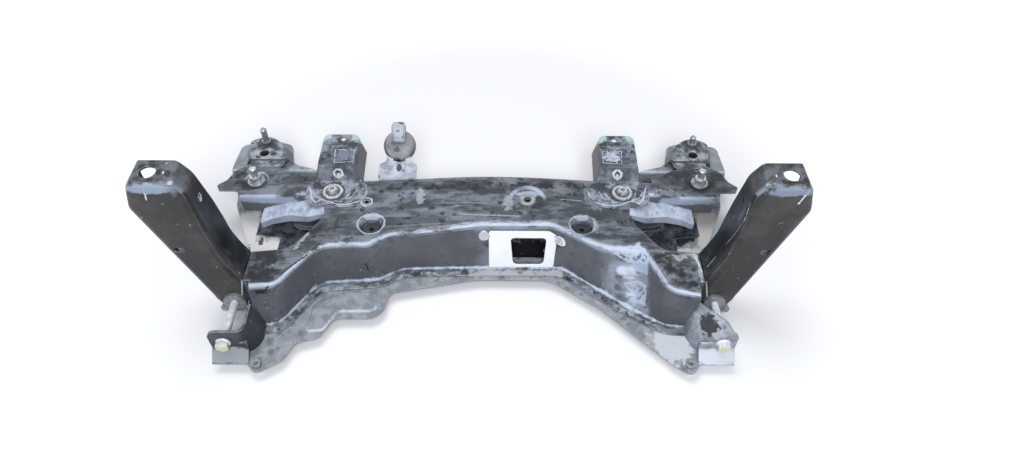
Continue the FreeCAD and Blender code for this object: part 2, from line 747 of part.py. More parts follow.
def rack_bolt_solid():
    """Round-headed bolt with a broad ring, down through the beam's sleeve."""
    up = point(0, 0, 1)
    seat = beam_top + thin_sheet
    ring = rod(rack_ring_radius, point(rack_x, rack_y, seat), up, rack_ring_height)
    crest = [e for e in ring.Edges if e.BoundBox.ZMin > seat + rack_ring_height - 1e-3]
    ring = ring.makeFillet(1.2, crest)
    dome = Part.makeCone(rack_head_radius, rack_head_radius - 3, rack_head_height,
                         point(rack_x, rack_y, seat + rack_ring_height), up)
    socket = rod(4.0, point(rack_x, rack_y, seat + rack_ring_height + 2), up, 10)
    low = pan_depth - small_nut_height - 4
    shank = rod(rack_bolt, point(rack_x, rack_y, low), up, seat - low)
    return ring.fuse([dome, shank]).cut(socket).removeSplitter()


def tube(radius, bore, x, y, low, high):
    """Upright tube."""
    base = point(x, y, low)
    up = point(0, 0, 1)
    return rod(radius, base, up, high - low).cut(rod(bore, base, up, high - low))


def window_plate():
    """Thin plate that follows the front wall around the window, with a round ear at each side."""
    low, high = seam_level + upper_sheet + 0.5, window_high + 12
    top, bottom = window_top_width / 2, window_low_width / 2
    corners = [(window_x - top - 36, low, 2), (window_x + bottom + 17, low, 2),
               (window_x + top + 16, high - 22, 3), (window_x + top + 16, high - 4, 4),
               (window_x + top + 4, high, 4), (window_x - top - 36, high, 4)]
    region = cross_slab(corners, -80, -10)
    ears = [(window_x - top - 44, high - 8), (window_x + top + 22, high - 11)]
    for x, z in ears:
        region = region.fuse(rod(plate_ear_radius, point(x, -80, z), point(0, 1, 0), 70))
    plate = beam_body(-plate_sheet).common(region).cut(BEAM)
    return plate.cut(cross_slab(window_corners(), -100, 0)).removeSplitter()


def hanger_bracket():
    """Tab on the beam's rear wall that bends back and ends in two prongs for the rubber."""
    wall_y = rear_y + rear_bow * (1 + hanger_x / BITE_TOP[-1][0])
    low_y = wall_y + rear_draft * (beam_top - hanger_low) / (beam_top - seam_level)
    path = [(hanger_y - 6, hanger_z - 4), (wall_y + 12, beam_top + 4), (wall_y - 0.5, beam_top),
            (low_y - 0.5, hanger_low)]
    sheet = long_slab(strip(path[::-1], thin_sheet + 2, 5), hanger_x - 40, hanger_x + 40)
    reach = hanger_y - 4
    plan = [(-34, 60, 0), (31, 60, 0), (31, wall_y + 27, 5), (21, wall_y + 33, 5),
            (17, reach, 4), (-17, reach, 4), (-23, wall_y + 33, 5), (-34, wall_y + 27, 5)]
    plan = [(hanger_x + u, v, r) for u, v, r in plan]
    slot = [(-10, wall_y + 32, 2), (10, wall_y + 32, 2), (7, 200, 0), (-7, 200, 0)]
    slot = [(hanger_x + u, v, r) for u, v, r in slot]
    sheet = sheet.common(slab(plan, 0, 200)).cut(slab(slot, 0, 200))
    return sheet.cut(BEAM).removeSplitter()


def hanger_frame(u, v, w):
    """Point from the rubber's centre: u across, v up its face and w out of its front."""
    tilt = math.radians(hanger_tilt)
    return point(hanger_x + u, hanger_y + v * math.sin(tilt) - w * math.cos(tilt),
                 hanger_z + v * math.cos(tilt) + w * math.sin(tilt))


def hanger_lug():
    """Hook lug on the rubber's upper half."""
    corners = [(-11, 6, 4), (11, 6, 4), (12, 34, 4), (9, 42, 5), (-9, 42, 5), (-12, 34, 4)]
    wires = [outline(corners, lambda u, v: hanger_frame(u, v, rubber_length / 2 - 5)),
             outline(corners, lambda u, v: hanger_frame(u, v, rubber_length / 2 + 5)),
             outline(inset(corners, 3), lambda u, v: hanger_frame(u, v, rubber_length / 2 + 8))]
    return Part.makeLoft(wires, True, True)


def hanger_rubber():
    """Round rubber block, waisted at its rim, with the prongs and the lug seated in it."""
    half = rubber_length / 2
    rim = [(0, -half, 0), (rubber_radius - 5, -half, 3), (rubber_radius, -half + 6, 5),
           (rubber_radius - 2, 0, 8), (rubber_radius, half - 6, 5), (rubber_radius - 5, half, 3),
           (0, half, 0)]
    wire = outline(rim, lambda u, w: hanger_frame(u, 0, w))
    axis = hanger_frame(0, 0, 1) - hanger_frame(0, 0, 0)
    block = Part.Face(wire).revolve(hanger_frame(0, 0, 0), axis, 360)
    return block.cut([NODES["hanger_bracket"], NODES["hanger_lug"]]).removeSplitter()


up = point(0, 0, 1)
BEAM = beam_body(0)

keep("upper_shell", upper_shell())
keep("lower_shell", lower_shell())
for side, sign in SIDES.items():
    keep(f"{side}_horn", mirrored(horn(side == "right"), sign))
    keep(f"{side}_locating_stud", mirrored(locating_stud(stud_heights[side]), sign))
    keep(f"{side}_front_bracket", mirrored(front_bracket(side == "right"), sign))
both_sides("horn_collar", horn_collar())
both_sides("corner_bracket", corner_bracket())
both_sides("mount_sleeve", mount_sleeve())
both_sides("bush_gusset", bush_gusset())
both_sides("rack_bracket", rack_bracket())

# Front bolts, from the ear through the collar to a nut inside the horn
ear_face = ear_y - bracket_sheet
both_sides("front_bolt", placed(flanged_bolt(front_bolt, front_bolt_tip - ear_face, nut_flats),
                                point(bolt_x, ear_face, bolt_z), point(0, 1, 0)))
both_sides("front_nut", nut(front_bolt, weld_nut_flats, nut_height,
                            point(bolt_x, horn_front_y + horn_sheet, bolt_z), point(0, 1, 0)))

# Rear bolts, up through both shells
wing_seat = wing_level - recess_depth
both_sides("rear_bolt", placed(flanged_bolt(rear_bolt, rear_bolt_tip - pan_depth, nut_flats),
                               point(rear_bolt_x, rear_bolt_y, pan_depth), up))
both_sides("rear_washer", tube(washer_radius, rear_bolt + bolt_clearance, rear_bolt_x, rear_bolt_y,
                               wing_seat, wing_seat + washer_height))
both_sides("rear_nut", nut(rear_bolt, nut_flats, nut_height,
                           point(rear_bolt_x, rear_bolt_y, wing_seat + washer_height), up))

# Rack bolts with their sleeves and nuts
both_sides("rack_bolt", rack_bolt_solid())
both_sides("rack_sleeve", tube(rack_sleeve_radius, rack_bolt + bolt_clearance, rack_x, rack_y,
                               seam_level, beam_top - upper_sheet))
both_sides("rack_nut", nut(rack_bolt, rack_nut_flats, rack_nut_height,
                           point(rack_x, rack_y, pan_depth), point(0, 0, -1)))

# Weld nuts under the dimples, on the lugs and in the pan
dimple_floor = beam_top - dimple_depth - upper_sheet
both_sides("dimple_nut", nut(small_thread - thread_gap, small_nut_flats, small_nut_height,
                             point(dimple_x, dimple_y, dimple_floor), point(0, 0, -1)))
both_sides("lug_nut", nut(small_thread - thread_gap, small_nut_flats, small_nut_height,
                          point(lug_x, lug_y, seam_level), up))
keep("rod_collar", tube(rod_collar_radius, rod_bore, rod_x, rod_y, beam_top - rod_dish_depth,
                        beam_top - rod_dish_depth + rod_collar_height))
keep("rod_weld_nut", nut(rod_thread - thread_gap, rod_nut_flats, nut_height,
                         point(rod_x, rod_y, lower_sheet), up))
keep("window_plate", window_plate())
keep("hanger_bracket", hanger_bracket())
keep("hanger_lug", hanger_lug())
keep("hanger_rubber", hanger_rubber())

os.makedirs("parts", exist_ok=True)
for name, shape in NODES.items():
    shape.exportStep(f"parts/{name}.step")
print(len(NODES), "pieces written")
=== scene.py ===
"""Looks of a worn front subframe: coated pressings, dusty flanges, bolts and a hanger rubber.

Every size is in millimetres in the part's own frame and becomes metres where a mesh or a node
takes it. Fine-meshed skins stand in for the two shells and the two horns: they carry dents,
and their wear, painted highlights and painted shade as point values. Every other node keeps
its CAD mesh and gets a finish, and two thin near-black sheets are painted shade in the wishbone
bays.
"""

import json
import logging
import math
from collections.abc import Iterable
from dataclasses import dataclass, field, replace
from enum import Enum
from functools import cached_property
from typing import Any

import bmesh
import bpy
import numpy as np
from mathutils import Matrix, Vector

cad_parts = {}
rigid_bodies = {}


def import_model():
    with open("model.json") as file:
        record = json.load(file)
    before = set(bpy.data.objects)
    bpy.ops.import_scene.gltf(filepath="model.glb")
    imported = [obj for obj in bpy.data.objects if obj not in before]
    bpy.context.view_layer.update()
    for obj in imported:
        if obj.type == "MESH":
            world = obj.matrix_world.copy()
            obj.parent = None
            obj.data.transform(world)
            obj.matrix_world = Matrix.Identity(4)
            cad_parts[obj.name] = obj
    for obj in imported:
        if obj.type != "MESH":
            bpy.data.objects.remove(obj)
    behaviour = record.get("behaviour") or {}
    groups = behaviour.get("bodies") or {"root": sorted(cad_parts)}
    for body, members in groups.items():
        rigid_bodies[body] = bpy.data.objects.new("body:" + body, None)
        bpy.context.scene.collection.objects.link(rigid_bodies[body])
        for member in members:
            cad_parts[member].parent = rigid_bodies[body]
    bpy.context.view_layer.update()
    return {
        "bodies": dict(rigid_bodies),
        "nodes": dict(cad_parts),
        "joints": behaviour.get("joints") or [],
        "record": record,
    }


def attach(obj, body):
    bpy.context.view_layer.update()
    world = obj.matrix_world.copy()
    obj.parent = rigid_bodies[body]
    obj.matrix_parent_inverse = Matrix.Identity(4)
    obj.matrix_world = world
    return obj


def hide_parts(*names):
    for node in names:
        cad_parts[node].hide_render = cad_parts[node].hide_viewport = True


LOG = logging.getLogger("subframe")
MM = 0.001
Point = tuple[float, float, float]
Socket = bpy.types.NodeSocket
# The side's name and the sign of x there.
SIDES = {"left": -1, "right": 1}


def linear(tone: str) -> tuple[float, float, float, float]:
    """Turns an sRGB hex colour into linear light, by the sRGB standard's own curve.

    Args:
        tone: colour such as "#30353b".

    Returns:
        Red, green, blue and an alpha of 1.
    """
    parts = [int(tone[i:i + 2], 16) / 255 for i in (1, 3, 5)]
    light = [p / 12.92 if p <= 0.04045 else ((p + 0.055) / 1.055) ** 2.4 for p in parts]
    return (light[0], light[1], light[2], 1.0)


def per_metre(size_mm: float) -> float:
    """Pattern scale, in repeats per metre, for a feature of a size in millimetres."""
    return 1000.0 / size_mm


def metres(sizes: Iterable[float]) -> list[float]:
    """Sizes in millimetres, turned to metres."""
    return [size * MM for size in sizes]


def placed(name: str, data: bpy.types.ID) -> bpy.types.Object:
    """Puts a mesh, camera or lamp into the scene.

    Args:
        name: name of the new object.
        data: what the object shows.

    Returns:
        The object, at the origin.
    """
    thing = bpy.data.objects.new(name, data)
    bpy.context.scene.collection.objects.link(thing)
    return thing


class Graph:
    """Node tree of a material or of the world."""

    def __init__(self, holder: bpy.types.ID) -> None:
        """Clears the holder's tree.

        Args:
            holder: the material or the world.
        """
        holder.use_nodes = True
        self.tree = holder.node_tree
        self.tree.nodes.clear()

    @cached_property
    def place(self) -> Socket:
        """Place of the shaded point in the part's own frame, in metres."""
        return self.add("TexCoord", out="Object")

    def add(self, kind: str, inputs: dict[Any, Any] | None = None, out: int | str = 0,
            **settings: Any) -> Any:
        """Adds a node with its settings and links.

        Args:
            kind: type of the node, without the ShaderNode that each begins with.
            inputs: values or output sockets by the name or number of the input.
            out: name or number of the output that is wanted.
            settings: properties of the node.

        Returns:
            That output socket, or None from a node that has none.
        """
        node = self.tree.nodes.new(f"ShaderNode{kind}")
        for key, value in settings.items():
            setattr(node, key, value)
        for key, value in (inputs or {}).items():
            if isinstance(value, Socket):
                self.tree.links.new(value, node.inputs[key])
            else:
                node.inputs[key].default_value = value
        return node.outputs[out] if len(node.outputs) else None

    def seen(self) -> Socket:
        """1 for rays straight from the camera or off a glossy surface, and 0 for all others."""
        path = self.add("LightPath").node.outputs
        return self.add("Math", {0: path["Is Camera Ray"], 1: path["Is Glossy Ray"]},
                        operation="MAXIMUM")


class Step:
    """Values between which the masks' smooth steps go from 0 to 1.

    A noise runs from about 0.3 to 0.7, the distance to the next drop or chip from 0 to about 1,
    and a normal's part along an axis from -1 to 1.
    """

    # Noise, for the second tone, the road film and where the painted highlights on crowns and edges
    # break.
    SECOND_TONE = (0.4, 0.6)
    FILM = (0.42, 0.6)
    CROWN_HIGHLIGHT_BREAK = (0.34, 0.54)
    EDGE_HIGHLIGHT_BREAK = (0.34, 0.56)
    # Normals: film lies on faces that look up, steep walls take a painted reflection, and the
    # crowns turn from the top to the front.
    FACES_UP = (0.2, 0.9)
    STEEP = (0.5, 0.2)
    FACES_FRONT = (0.1, -0.3)
    # Share, start and end of the broad and of the narrow painted highlight along a rolled crown.
    CROWN_HIGHLIGHTS = ((0.45, (0.3, 0.44), (0.97, 0.87)), (1.0, (0.56, 0.7), (0.93, 0.83)))
    # Cosine between the rounded and the flat normal, at an edge, where the painted edge highlight
    # lies.
    EDGE = (0.98, 0.82)
    # Distance to the middle of a washed drop or a chip, and the noise where they gather.
    DROP = (0.36, 0.26)
    DROP_AREA = (0.46, 0.52)
    CHIP = (0.15, 0.1)
    CHIP_AREA = (0.54, 0.6)
    # Point value of a layer of wear or painted light, with the noise and alone.
    WEAR = (0.35, 0.75)
    WEAR_REACH = (0.02, 0.3)
    # Share of a patch's radii, and the noise that spots a facet.
    PATCH_RIM = (1.1, 0.75)
    FACET_CLEAN = (0.56, 0.49)
    # Noise of the plating, and metres from the origin where the floor starts to glow.
    PLATING = (0.35, 0.65)
    FLOOR_GLOW = (0.5, 1.0)


def masked(graph: Graph, share: Any, *steps: tuple[Any, float, float]) -> Socket:
    """Mask from smooth steps: the share times every step's value from 0 to 1.

    Args:
        graph: node tree that gets the nodes.
        share: value or socket that the steps are multiplied with.
        steps: for each step its socket, the value that gives 0 and the value that gives 1.

    Returns:
        The output socket.
    """
    for value, zero_at, one_at in steps:
        low, high = sorted((zero_at, one_at))
        ends = (0.0, 1.0) if zero_at < one_at else (1.0, 0.0)
        step = graph.add("MapRange", {0: value, 1: low, 2: high, 3: ends[0], 4: ends[1]},
                         interpolation_type="SMOOTHSTEP")
        share = graph.add("Math", {0: share, 1: step}, operation="MULTIPLY")
    return share


def ragged(graph: Graph, value: Any, size: float, swing: float, detail: float = 5.0) -> Socket:
    """Value that a noise makes uneven: the value plus the swing times (noise - 0.5).

    Args:
        graph: node tree that gets the nodes.
        value: socket to be made uneven.
        size: width of the noise's clouds in millimetres.
        swing: what the noise is multiplied with.
        detail: number of the noise's finer layers.

    Returns:
        The output socket.
    """
    noise = graph.add("TexNoise", {"Vector": graph.place, "Scale": per_metre(size),
                                   "Detail": detail, "Roughness": 0.6})
    wave = graph.add("Math", {0: noise, 1: swing, 2: -swing / 2}, operation="MULTIPLY_ADD")
    return graph.add("Math", {0: value, 1: wave}, operation="ADD")


def painted(graph: Graph, ground: str, stains: list[tuple[Socket, str]]) -> Socket:
    """Colour of a ground tone with stains laid over it in order.

    Args:
        graph: node tree that gets the nodes.
        ground: tone of the ground.
        stains: mask and tone of each stain, the lowest first.

    Returns:
        The colour's socket.
    """
    colour = linear(ground)
    for mask, tone in stains:
        colour = graph.add("Mix", {"Factor": mask, 6: colour, 7: linear(tone)}, 2,
                           data_type="RGBA")
    return colour


@dataclass(frozen=True)
class Patch:
    """Soft-edged area with a shade of its own.

    The mask is 1 inside an ellipsoid and falls to 0 at its rim, which a noise roughens.
    """

    centre: Point
    radii: Point
    tone: str
    strength: float = 0.8
    grain: float = 12.0
    roughen: float = 0.5
    gloss: float = 0.5

    def mask(self, graph: Graph) -> Socket:
        """Socket of the patch's mask.

        Args:
            graph: the material's node tree.

        Returns:
            The mask, from 0 to the patch's strength.
        """
        shift = graph.add("VectorMath", {0: graph.place, 1: metres(self.centre)},
                          operation="SUBTRACT")
        scale = graph.add("VectorMath", {0: shift, 1: [1 / r for r in metres(self.radii)]},
                          operation="MULTIPLY")
        reach = graph.add("VectorMath", {0: scale}, "Value", operation="LENGTH")
        reach = ragged(graph, reach, self.grain, swing=3 * self.roughen)
        return masked(graph, self.strength, (reach, *Step.PATCH_RIM))


@dataclass(frozen=True)
class Scratch:
    """Thin mark along a straight line; its mask falls off with the distance from the line."""

    start: Point
    end: Point
    width: float = 1.2
    tone: str = "#d6dae0"
    strength: float = 0.8
    gloss: float = 0.5

    def mask(self, graph: Graph) -> Socket:
        """Socket of the mark's mask.

        Args:
            graph: the material's node tree.

        Returns:
            The mask, from 0 to the mark's strength.
        """
        run = metres(b - a for a, b in zip(self.start, self.end))
        squared = sum(r * r for r in run)
        away = graph.add("VectorMath", {0: graph.place, 1: metres(self.start)},
                         operation="SUBTRACT")
        share = graph.add("VectorMath", {0: away, 1: [r / squared for r in run]}, "Value",
                          operation="DOT_PRODUCT")
        share = graph.add("Clamp", {0: share})
        foot = graph.add("VectorMath", {0: run, "Scale": share}, operation="SCALE")
        gap = graph.add("VectorMath", {0: away, 1: foot}, "Value", operation="DISTANCE")
        width = self.width * MM
        gap = ragged(graph, gap, 4.0, swing=2.4 * width, detail=3.0)
        return masked(graph, self.strength, (gap, width, 0.4 * width))


def streak(line: tuple[Point, ...], width: float, tone: str,
           strength: float = 0.85) -> tuple[Scratch, ...]:
    """Scratches that follow a line of points.

    Args:
        line: points in millimetres.
        width: half width of the mark in millimetres.
        tone: colour of the mark.
        strength: how much of the colour shows.

    Returns:
        One scratch for each stretch of the line.
    """
    return tuple(Scratch(a, b, width, tone, strength) for a, b in zip(line, line[1:]))


@dataclass(frozen=True)
class Ring:
    """Rubbed or dusty ring round a hole or a nut."""

    centre: Point
    radius: float
    width: float
    tone: str = "#c6ccd6"
    strength: float = 0.85
    gloss: float = 0.5

    def mask(self, graph: Graph) -> Socket:
        """Socket of the ring's mask.

        Args:
            graph: the material's node tree.

        Returns:
            The mask, from 0 to the ring's strength.
        """
        width = self.width * MM
        gap = graph.add("VectorMath", {0: graph.place, 1: metres(self.centre)}, "Value",
                        operation="DISTANCE")
        gap = ragged(graph, gap, 6.0, swing=4 * width)
        off = graph.add("Math", {0: gap, 1: self.radius * MM}, operation="SUBTRACT")
        off = graph.add("Math", {0: off}, operation="ABSOLUTE")
        return masked(graph, self.strength, (off, width, 0.5 * width))


@dataclass(frozen=True)
class FacetHighlight:
    """Painted highlight on a pressed facet of a front wall: bright at its rim, broken by dirt spots
    inside.

    The corners are (x, z), clockwise as seen from the front. The depth inside the outline is
    the least distance from its sides' lines.
    """

    corners: tuple[tuple[float, float], ...]
    tone: str
    strength: float = 0.9
    spots: float = 8.0
    rim_highlight: float = 2.2
    ahead_of: float = -60.0
    gloss: float = 0.4

    def mask(self, graph: Graph) -> Socket:
        """Socket of the facet's mask.

        Args:
            graph: the material's node tree.

        Returns:
            The mask, from 0 to the facet's strength.
        """
        depth = None
        for (x, z), (next_x, next_z) in zip(self.corners, self.corners[1:] + self.corners[:1]):
            length = math.hypot(next_x - x, next_z - z)
            inward = ((next_z - z) / length, 0.0, (x - next_x) / length)
            side = (x * inward[0] + z * inward[2]) * MM
            along = graph.add("VectorMath", {0: graph.place, 1: inward}, "Value",
                              operation="DOT_PRODUCT")
            away = graph.add("Math", {0: along, 1: side}, operation="SUBTRACT")
            depth = away if depth is None else graph.add("Math", {0: depth, 1: away},
                                                         operation="MINIMUM")
        # The outline wavers by a millimetre or so, and its borders are 1.2 to 3 mm soft.
        depth = ragged(graph, depth, 9.0, swing=6 * MM)
        rim_highlight = masked(graph, 1.0, (depth, (self.rim_highlight + 1.4) * MM, self.rim_highlight * MM))
        dirt = graph.add("TexNoise", {"Vector": graph.place, "Scale": per_metre(self.spots),
                                      "Detail": 5.0, "Roughness": 0.6})
        clean = masked(graph, 1.0, (dirt, *Step.FACET_CLEAN))
        clear = graph.add("Math", {0: rim_highlight, 1: clean}, operation="MAXIMUM")
        share = graph.add("Math", {0: clear, 1: self.strength}, operation="MULTIPLY")
        back = graph.add("SeparateXYZ", {0: graph.place}, "Y")
        return masked(graph, share, (depth, 0.0, 1.2 * MM),
                      (back, (self.ahead_of + 3) * MM, self.ahead_of * MM))


Mark = Patch | Scratch | Ring | FacetHighlight


class Layer(Enum):
    """Wear and painted light that a skin's points carry, as the name of the point value."""

    DUST = "dust"
    PAINTED_HIGHLIGHT = "painted_highlight"
    SOOT_AND_SHADE = "soot_and_shade"


@dataclass(frozen=True)
class WornCoat:
    """Black dip coat on pressed steel, hazed by road film, with painted highlights at its edges.

    The coat has a soft gloss and reflects the sky; film and dust dull it and grey it, drops
    have washed dark spots into the film, and chips show as pale specks. Painted highlights
    lighten its edges and rolled crowns, and a painted reflection lightens its steep walls.
    """

    name: str
    tone: str = "#3b3f44"
    second: str = "#52575e"
    haze: str = "#9aa2ad"
    haze_share: float = 0.5
    smear: Point = (1.0, 1.0, 1.0)
    spot: str = "#17191c"
    spot_share: float = 0.8
    wall_spots: float = 0.3
    speck: str = "#c9cdd2"
    speck_share: float = 0.7
    # Painted highlight: a pale colour laid along edges, for the light that their rounding catches.
    edge: str = "#c2c9d6"
    edge_highlight_share: float = 0.9
    # Painted highlight: bright bands laid on rolled crowns, for the sky's reflection in them.
    rim_highlight: str = "#c0cadb"
    rim_highlight_share: float = 0.85
    dust: str = "#a6a9ae"
    # Painted highlight carried as a point value, along the foot of the front wall.
    painted_highlight: str = "#bcc6d8"
    # Soot, and painted shade inside the beam and in the bays, carried as one point value.
    soot_and_shade: str = "#22252a"
    gloss: float = 0.3
    sheen: float = 0.28
    dull: float = 0.62
    ior: float = 1.5
    bump: float = 0.3
    relief: float = 0.4
    edge_radius: float = 2.0
    # Painted reflection: a lighter grey on steep walls, for the light they mirror from the floor.
    wall_reflection: str = "#74747b"
    wall_reflection_share: float = 0.0
    layered: bool = False
    marks: tuple[Mark, ...] = ()
    cloud_size: float = 75.0
    film_size: float = 22.0
    spot_size: float = 17.0
    chip_size: float = 10.0
    grit_size: float = 2.4

    def layer(self, graph: Graph, layer: Layer, grain: float) -> Socket:
        """Mask of a point value, broken up by a noise.

        Args:
            graph: the material's node tree.
            layer: the point value.
            grain: width of the noise's clouds in millimetres.

        Returns:
            The output socket.
        """
        value = graph.add("Attribute", out="Fac", attribute_name=layer.value)
        broken = ragged(graph, value, grain, swing=1.8, detail=6.0)
        return masked(graph, 1.0, (broken, *Step.WEAR), (value, *Step.WEAR_REACH))

    def weather(self, graph: Graph, cloud: Socket, fine: Socket,
                normal: Any) -> tuple[list[tuple[Socket, str]], Socket]:
        """Second tone, road film, painted reflection on steep walls, washed drops, specks and the
        layers of wear and painted light.

        Args:
            graph: the material's node tree.
            cloud: broad noise.
            fine: noise of the road film.
            normal: the sockets of the normal's parts.

        Returns:
            Mask and tone of each, the lowest first, and the mask of what dulls the gloss.
        """
        up = masked(graph, 1.0, (normal["Z"], *Step.FACES_UP))
        film = masked(graph, self.haze_share, (fine, *Step.FILM), (normal["Z"], *Step.FACES_UP))
        # Painted reflection on steep walls.
        walls = masked(graph, self.wall_reflection_share, (normal["Z"], *Step.STEEP))
        drops, chips = (graph.add("TexVoronoi", {"Vector": graph.place, "Scale": per_metre(size)},
                                  "Distance") for size in (self.spot_size, self.chip_size))
        drops = ragged(graph, drops, 6.0, swing=0.9)
        drop_share = graph.add("Math", {0: up, 1: (1 - self.wall_spots) * self.spot_share,
                                        2: self.wall_spots * self.spot_share},
                               operation="MULTIPLY_ADD")
        specks = masked(graph, 1.0, (chips, *Step.CHIP), (fine, *Step.CHIP_AREA))
        dull = graph.add("Math", {0: film, 1: specks}, operation="MAXIMUM")
        stains = [
            (masked(graph, 1.0, (cloud, *Step.SECOND_TONE)), self.second),
            (film, self.haze),
            (walls, self.wall_reflection),
            (masked(graph, drop_share, (drops, *Step.DROP), (cloud, *Step.DROP_AREA)), self.spot),
            (graph.add("Math", {0: specks, 1: self.speck_share}, operation="MULTIPLY"),
             self.speck),
        ]
        if self.layered:
            for layer, grain, tone in ((Layer.PAINTED_HIGHLIGHT, 24, self.painted_highlight), (Layer.DUST, 12, self.dust),
                                       (Layer.SOOT_AND_SHADE, 16, self.soot_and_shade)):
                mask = self.layer(graph, layer, grain)
                stains.append((mask, tone))
                if layer is Layer.DUST:
                    dull = graph.add("Math", {0: dull, 1: mask}, operation="MAXIMUM")
        return stains, dull

    def build(self) -> bpy.types.Material:
        """Makes the material.

        Returns:
            The finished material.
        """
        material = bpy.data.materials.new(self.name)
        graph = Graph(material)
        smeared = graph.add("Mapping", {"Vector": graph.place, "Scale": self.smear})
        cloud, fine, grit = (
            graph.add("TexNoise", {"Vector": place, "Scale": per_metre(size), "Detail": detail,
                                   "Roughness": roughness})
            for place, size, detail, roughness in (
                (graph.place, self.cloud_size, 6.0, 0.62), (smeared, self.film_size, 8.0, 0.7),
                (graph.place, self.grit_size, 3.0, 0.6)))
        geometry = graph.add("NewGeometry").node.outputs
        normal = graph.add("SeparateXYZ", {0: geometry["Normal"]}).node.outputs
        stains, dull = self.weather(graph, cloud, fine, normal)
        # Painted highlights: bright bands where a crown turns from the top to the front.
        for share, start, end in Step.CROWN_HIGHLIGHTS:
            crown_highlight = masked(graph, self.rim_highlight_share * share, (normal["Z"], *start),
                          (normal["Z"], *end), (normal["Y"], *Step.FACES_FRONT),
                          (fine, *Step.CROWN_HIGHLIGHT_BREAK))
            stains.append((crown_highlight, self.rim_highlight))
        # Painted highlight along edges, where the rounded normal turns from the flat one.
        rounded = graph.add("Bevel", {"Radius": self.edge_radius * MM}, samples=6)
        turned = graph.add("VectorMath", {0: rounded, 1: geometry["True Normal"]}, "Value",
                           operation="DOT_PRODUCT")
        stains.append((masked(graph, self.edge_highlight_share, (turned, *Step.EDGE),
                              (fine, *Step.EDGE_HIGHLIGHT_BREAK)), self.edge))
        rough = graph.add("Math", {0: cloud, 1: 0.2, 2: self.gloss - 0.1},
                          operation="MULTIPLY_ADD")
        for mark in self.marks:
            mask = mark.mask(graph)
            stains.append((mask, mark.tone))
            rough = graph.add("Mix", {"Factor": mask, 2: rough, 3: mark.gloss},
                              data_type="FLOAT")
        rough = graph.add("Mix", {"Factor": dull, 2: rough, 3: self.dull}, data_type="FLOAT")
        height = graph.add("Math", {0: grit, 1: 0.5, 2: fine}, operation="MULTIPLY_ADD")
        bump = graph.add("Bump", {"Height": height, "Normal": rounded, "Strength": self.bump,
                                  "Distance": self.relief * MM})
        shader = graph.add("BsdfPrincipled", {
            "Base Color": painted(graph, self.tone, stains), "Roughness": rough,
            "Normal": bump, "IOR": self.ior, "Specular IOR Level": self.sheen})
        graph.add("OutputMaterial", {"Surface": shader})
        return material


@dataclass(frozen=True)
class PlatedSteel:
    """Zinc-plated or bare steel of a bolt, nut or stud, dulled by weather."""

    name: str
    tone: str = "#a9aaa6"
    second: str = "#77787a"
    rough: float = 0.38
    metallic: float = 0.85
    grain: float = 6.0
    edge_radius: float = 0.7
    bump: float = 0.2
    relief: float = 0.3
    marks: tuple[Mark, ...] = ()

    def build(self) -> bpy.types.Material:
        """Makes the material.

        Returns:
            The finished material.
        """
        material = bpy.data.materials.new(self.name)
        graph = Graph(material)
        cloud = graph.add("TexNoise", {"Vector": graph.place, "Scale": per_metre(self.grain),
                                       "Detail": 6.0, "Roughness": 0.7})
        stains = [(masked(graph, 1.0, (cloud, *Step.PLATING)), self.second)]
        stains += [(mark.mask(graph), mark.tone) for mark in self.marks]
        rough = graph.add("Math", {0: cloud, 1: 0.3, 2: self.rough - 0.1},
                          operation="MULTIPLY_ADD")
        rounded = graph.add("Bevel", {"Radius": self.edge_radius * MM}, samples=6)
        bump = graph.add("Bump", {"Height": cloud, "Normal": rounded, "Strength": self.bump,
                                  "Distance": self.relief * MM})
        shader = graph.add("BsdfPrincipled", {
            "Base Color": painted(graph, self.tone, stains), "Roughness": rough,
            "Metallic": self.metallic, "Normal": bump})
        graph.add("OutputMaterial", {"Surface": shader})
        return material


class Hardware(Enum):
    """Named finishes of the fasteners and small pieces."""

    # Zinc plate with a faded yellow passivation: nearly white, with a soft shine and a straw
    # tint on the bolts' heads.
    YELLOW_ZINC = PlatedSteel("zinc_pale_yellow", "#f0f1f4", "#c9cbcf", 0.38, 0.15, marks=tuple(
        Patch((x, -231, 48), (14, 9, 9), "#d3cf98", 0.7, 5, 0.6) for x in (-378.5, 378.5)))
    # Clear zinc plate: a silvery metal shine with grey clouds.
    BRIGHT_ZINC = PlatedSteel("zinc_bright", "#d4d7da", "#9da2a8", 0.32, 0.8)
    # Bare steel, machined and dulled: a grey metal, with bright and dark rings where the rack
    # bolts' flanges have turned.
    BARE_STEEL = PlatedSteel("steel_bare_dull", "#a9acb0", "#7d8084", 0.42, 0.6, marks=tuple(
        Ring((x, 42, 108), radius, 1.4, tone, 0.8) for x in (-245, 245)
        for radius, tone in ((14.5, "#d5d8da"), (11.5, "#4e5155"), (7.0, "#cfcdc6"))))
    # Oiled steel of the nuts and sleeves inside: dark, with a dim shine.
    DARK_STEEL = PlatedSteel("steel_oiled_dark", "#4a4d51", "#2a2c2f", 0.45, 0.4)


@dataclass(frozen=True)
class Dent:
    """Shallow press or knock: the push fades from the centre as a squared cosine."""

    centre: Point
    radii: Point
    push: Point

    def shift(self, places: np.ndarray) -> np.ndarray:
        """Movement of each point.

        Args:
            places: points in millimetres, one row each.

        Returns:
            Their movement in millimetres.
        """
        reach = np.linalg.norm((places - np.array(self.centre)) / np.array(self.radii), axis=1)
        fade = np.cos(np.clip(reach, 0, 1) * math.pi / 2) ** 2
        return fade[:, None] * np.array(self.push)


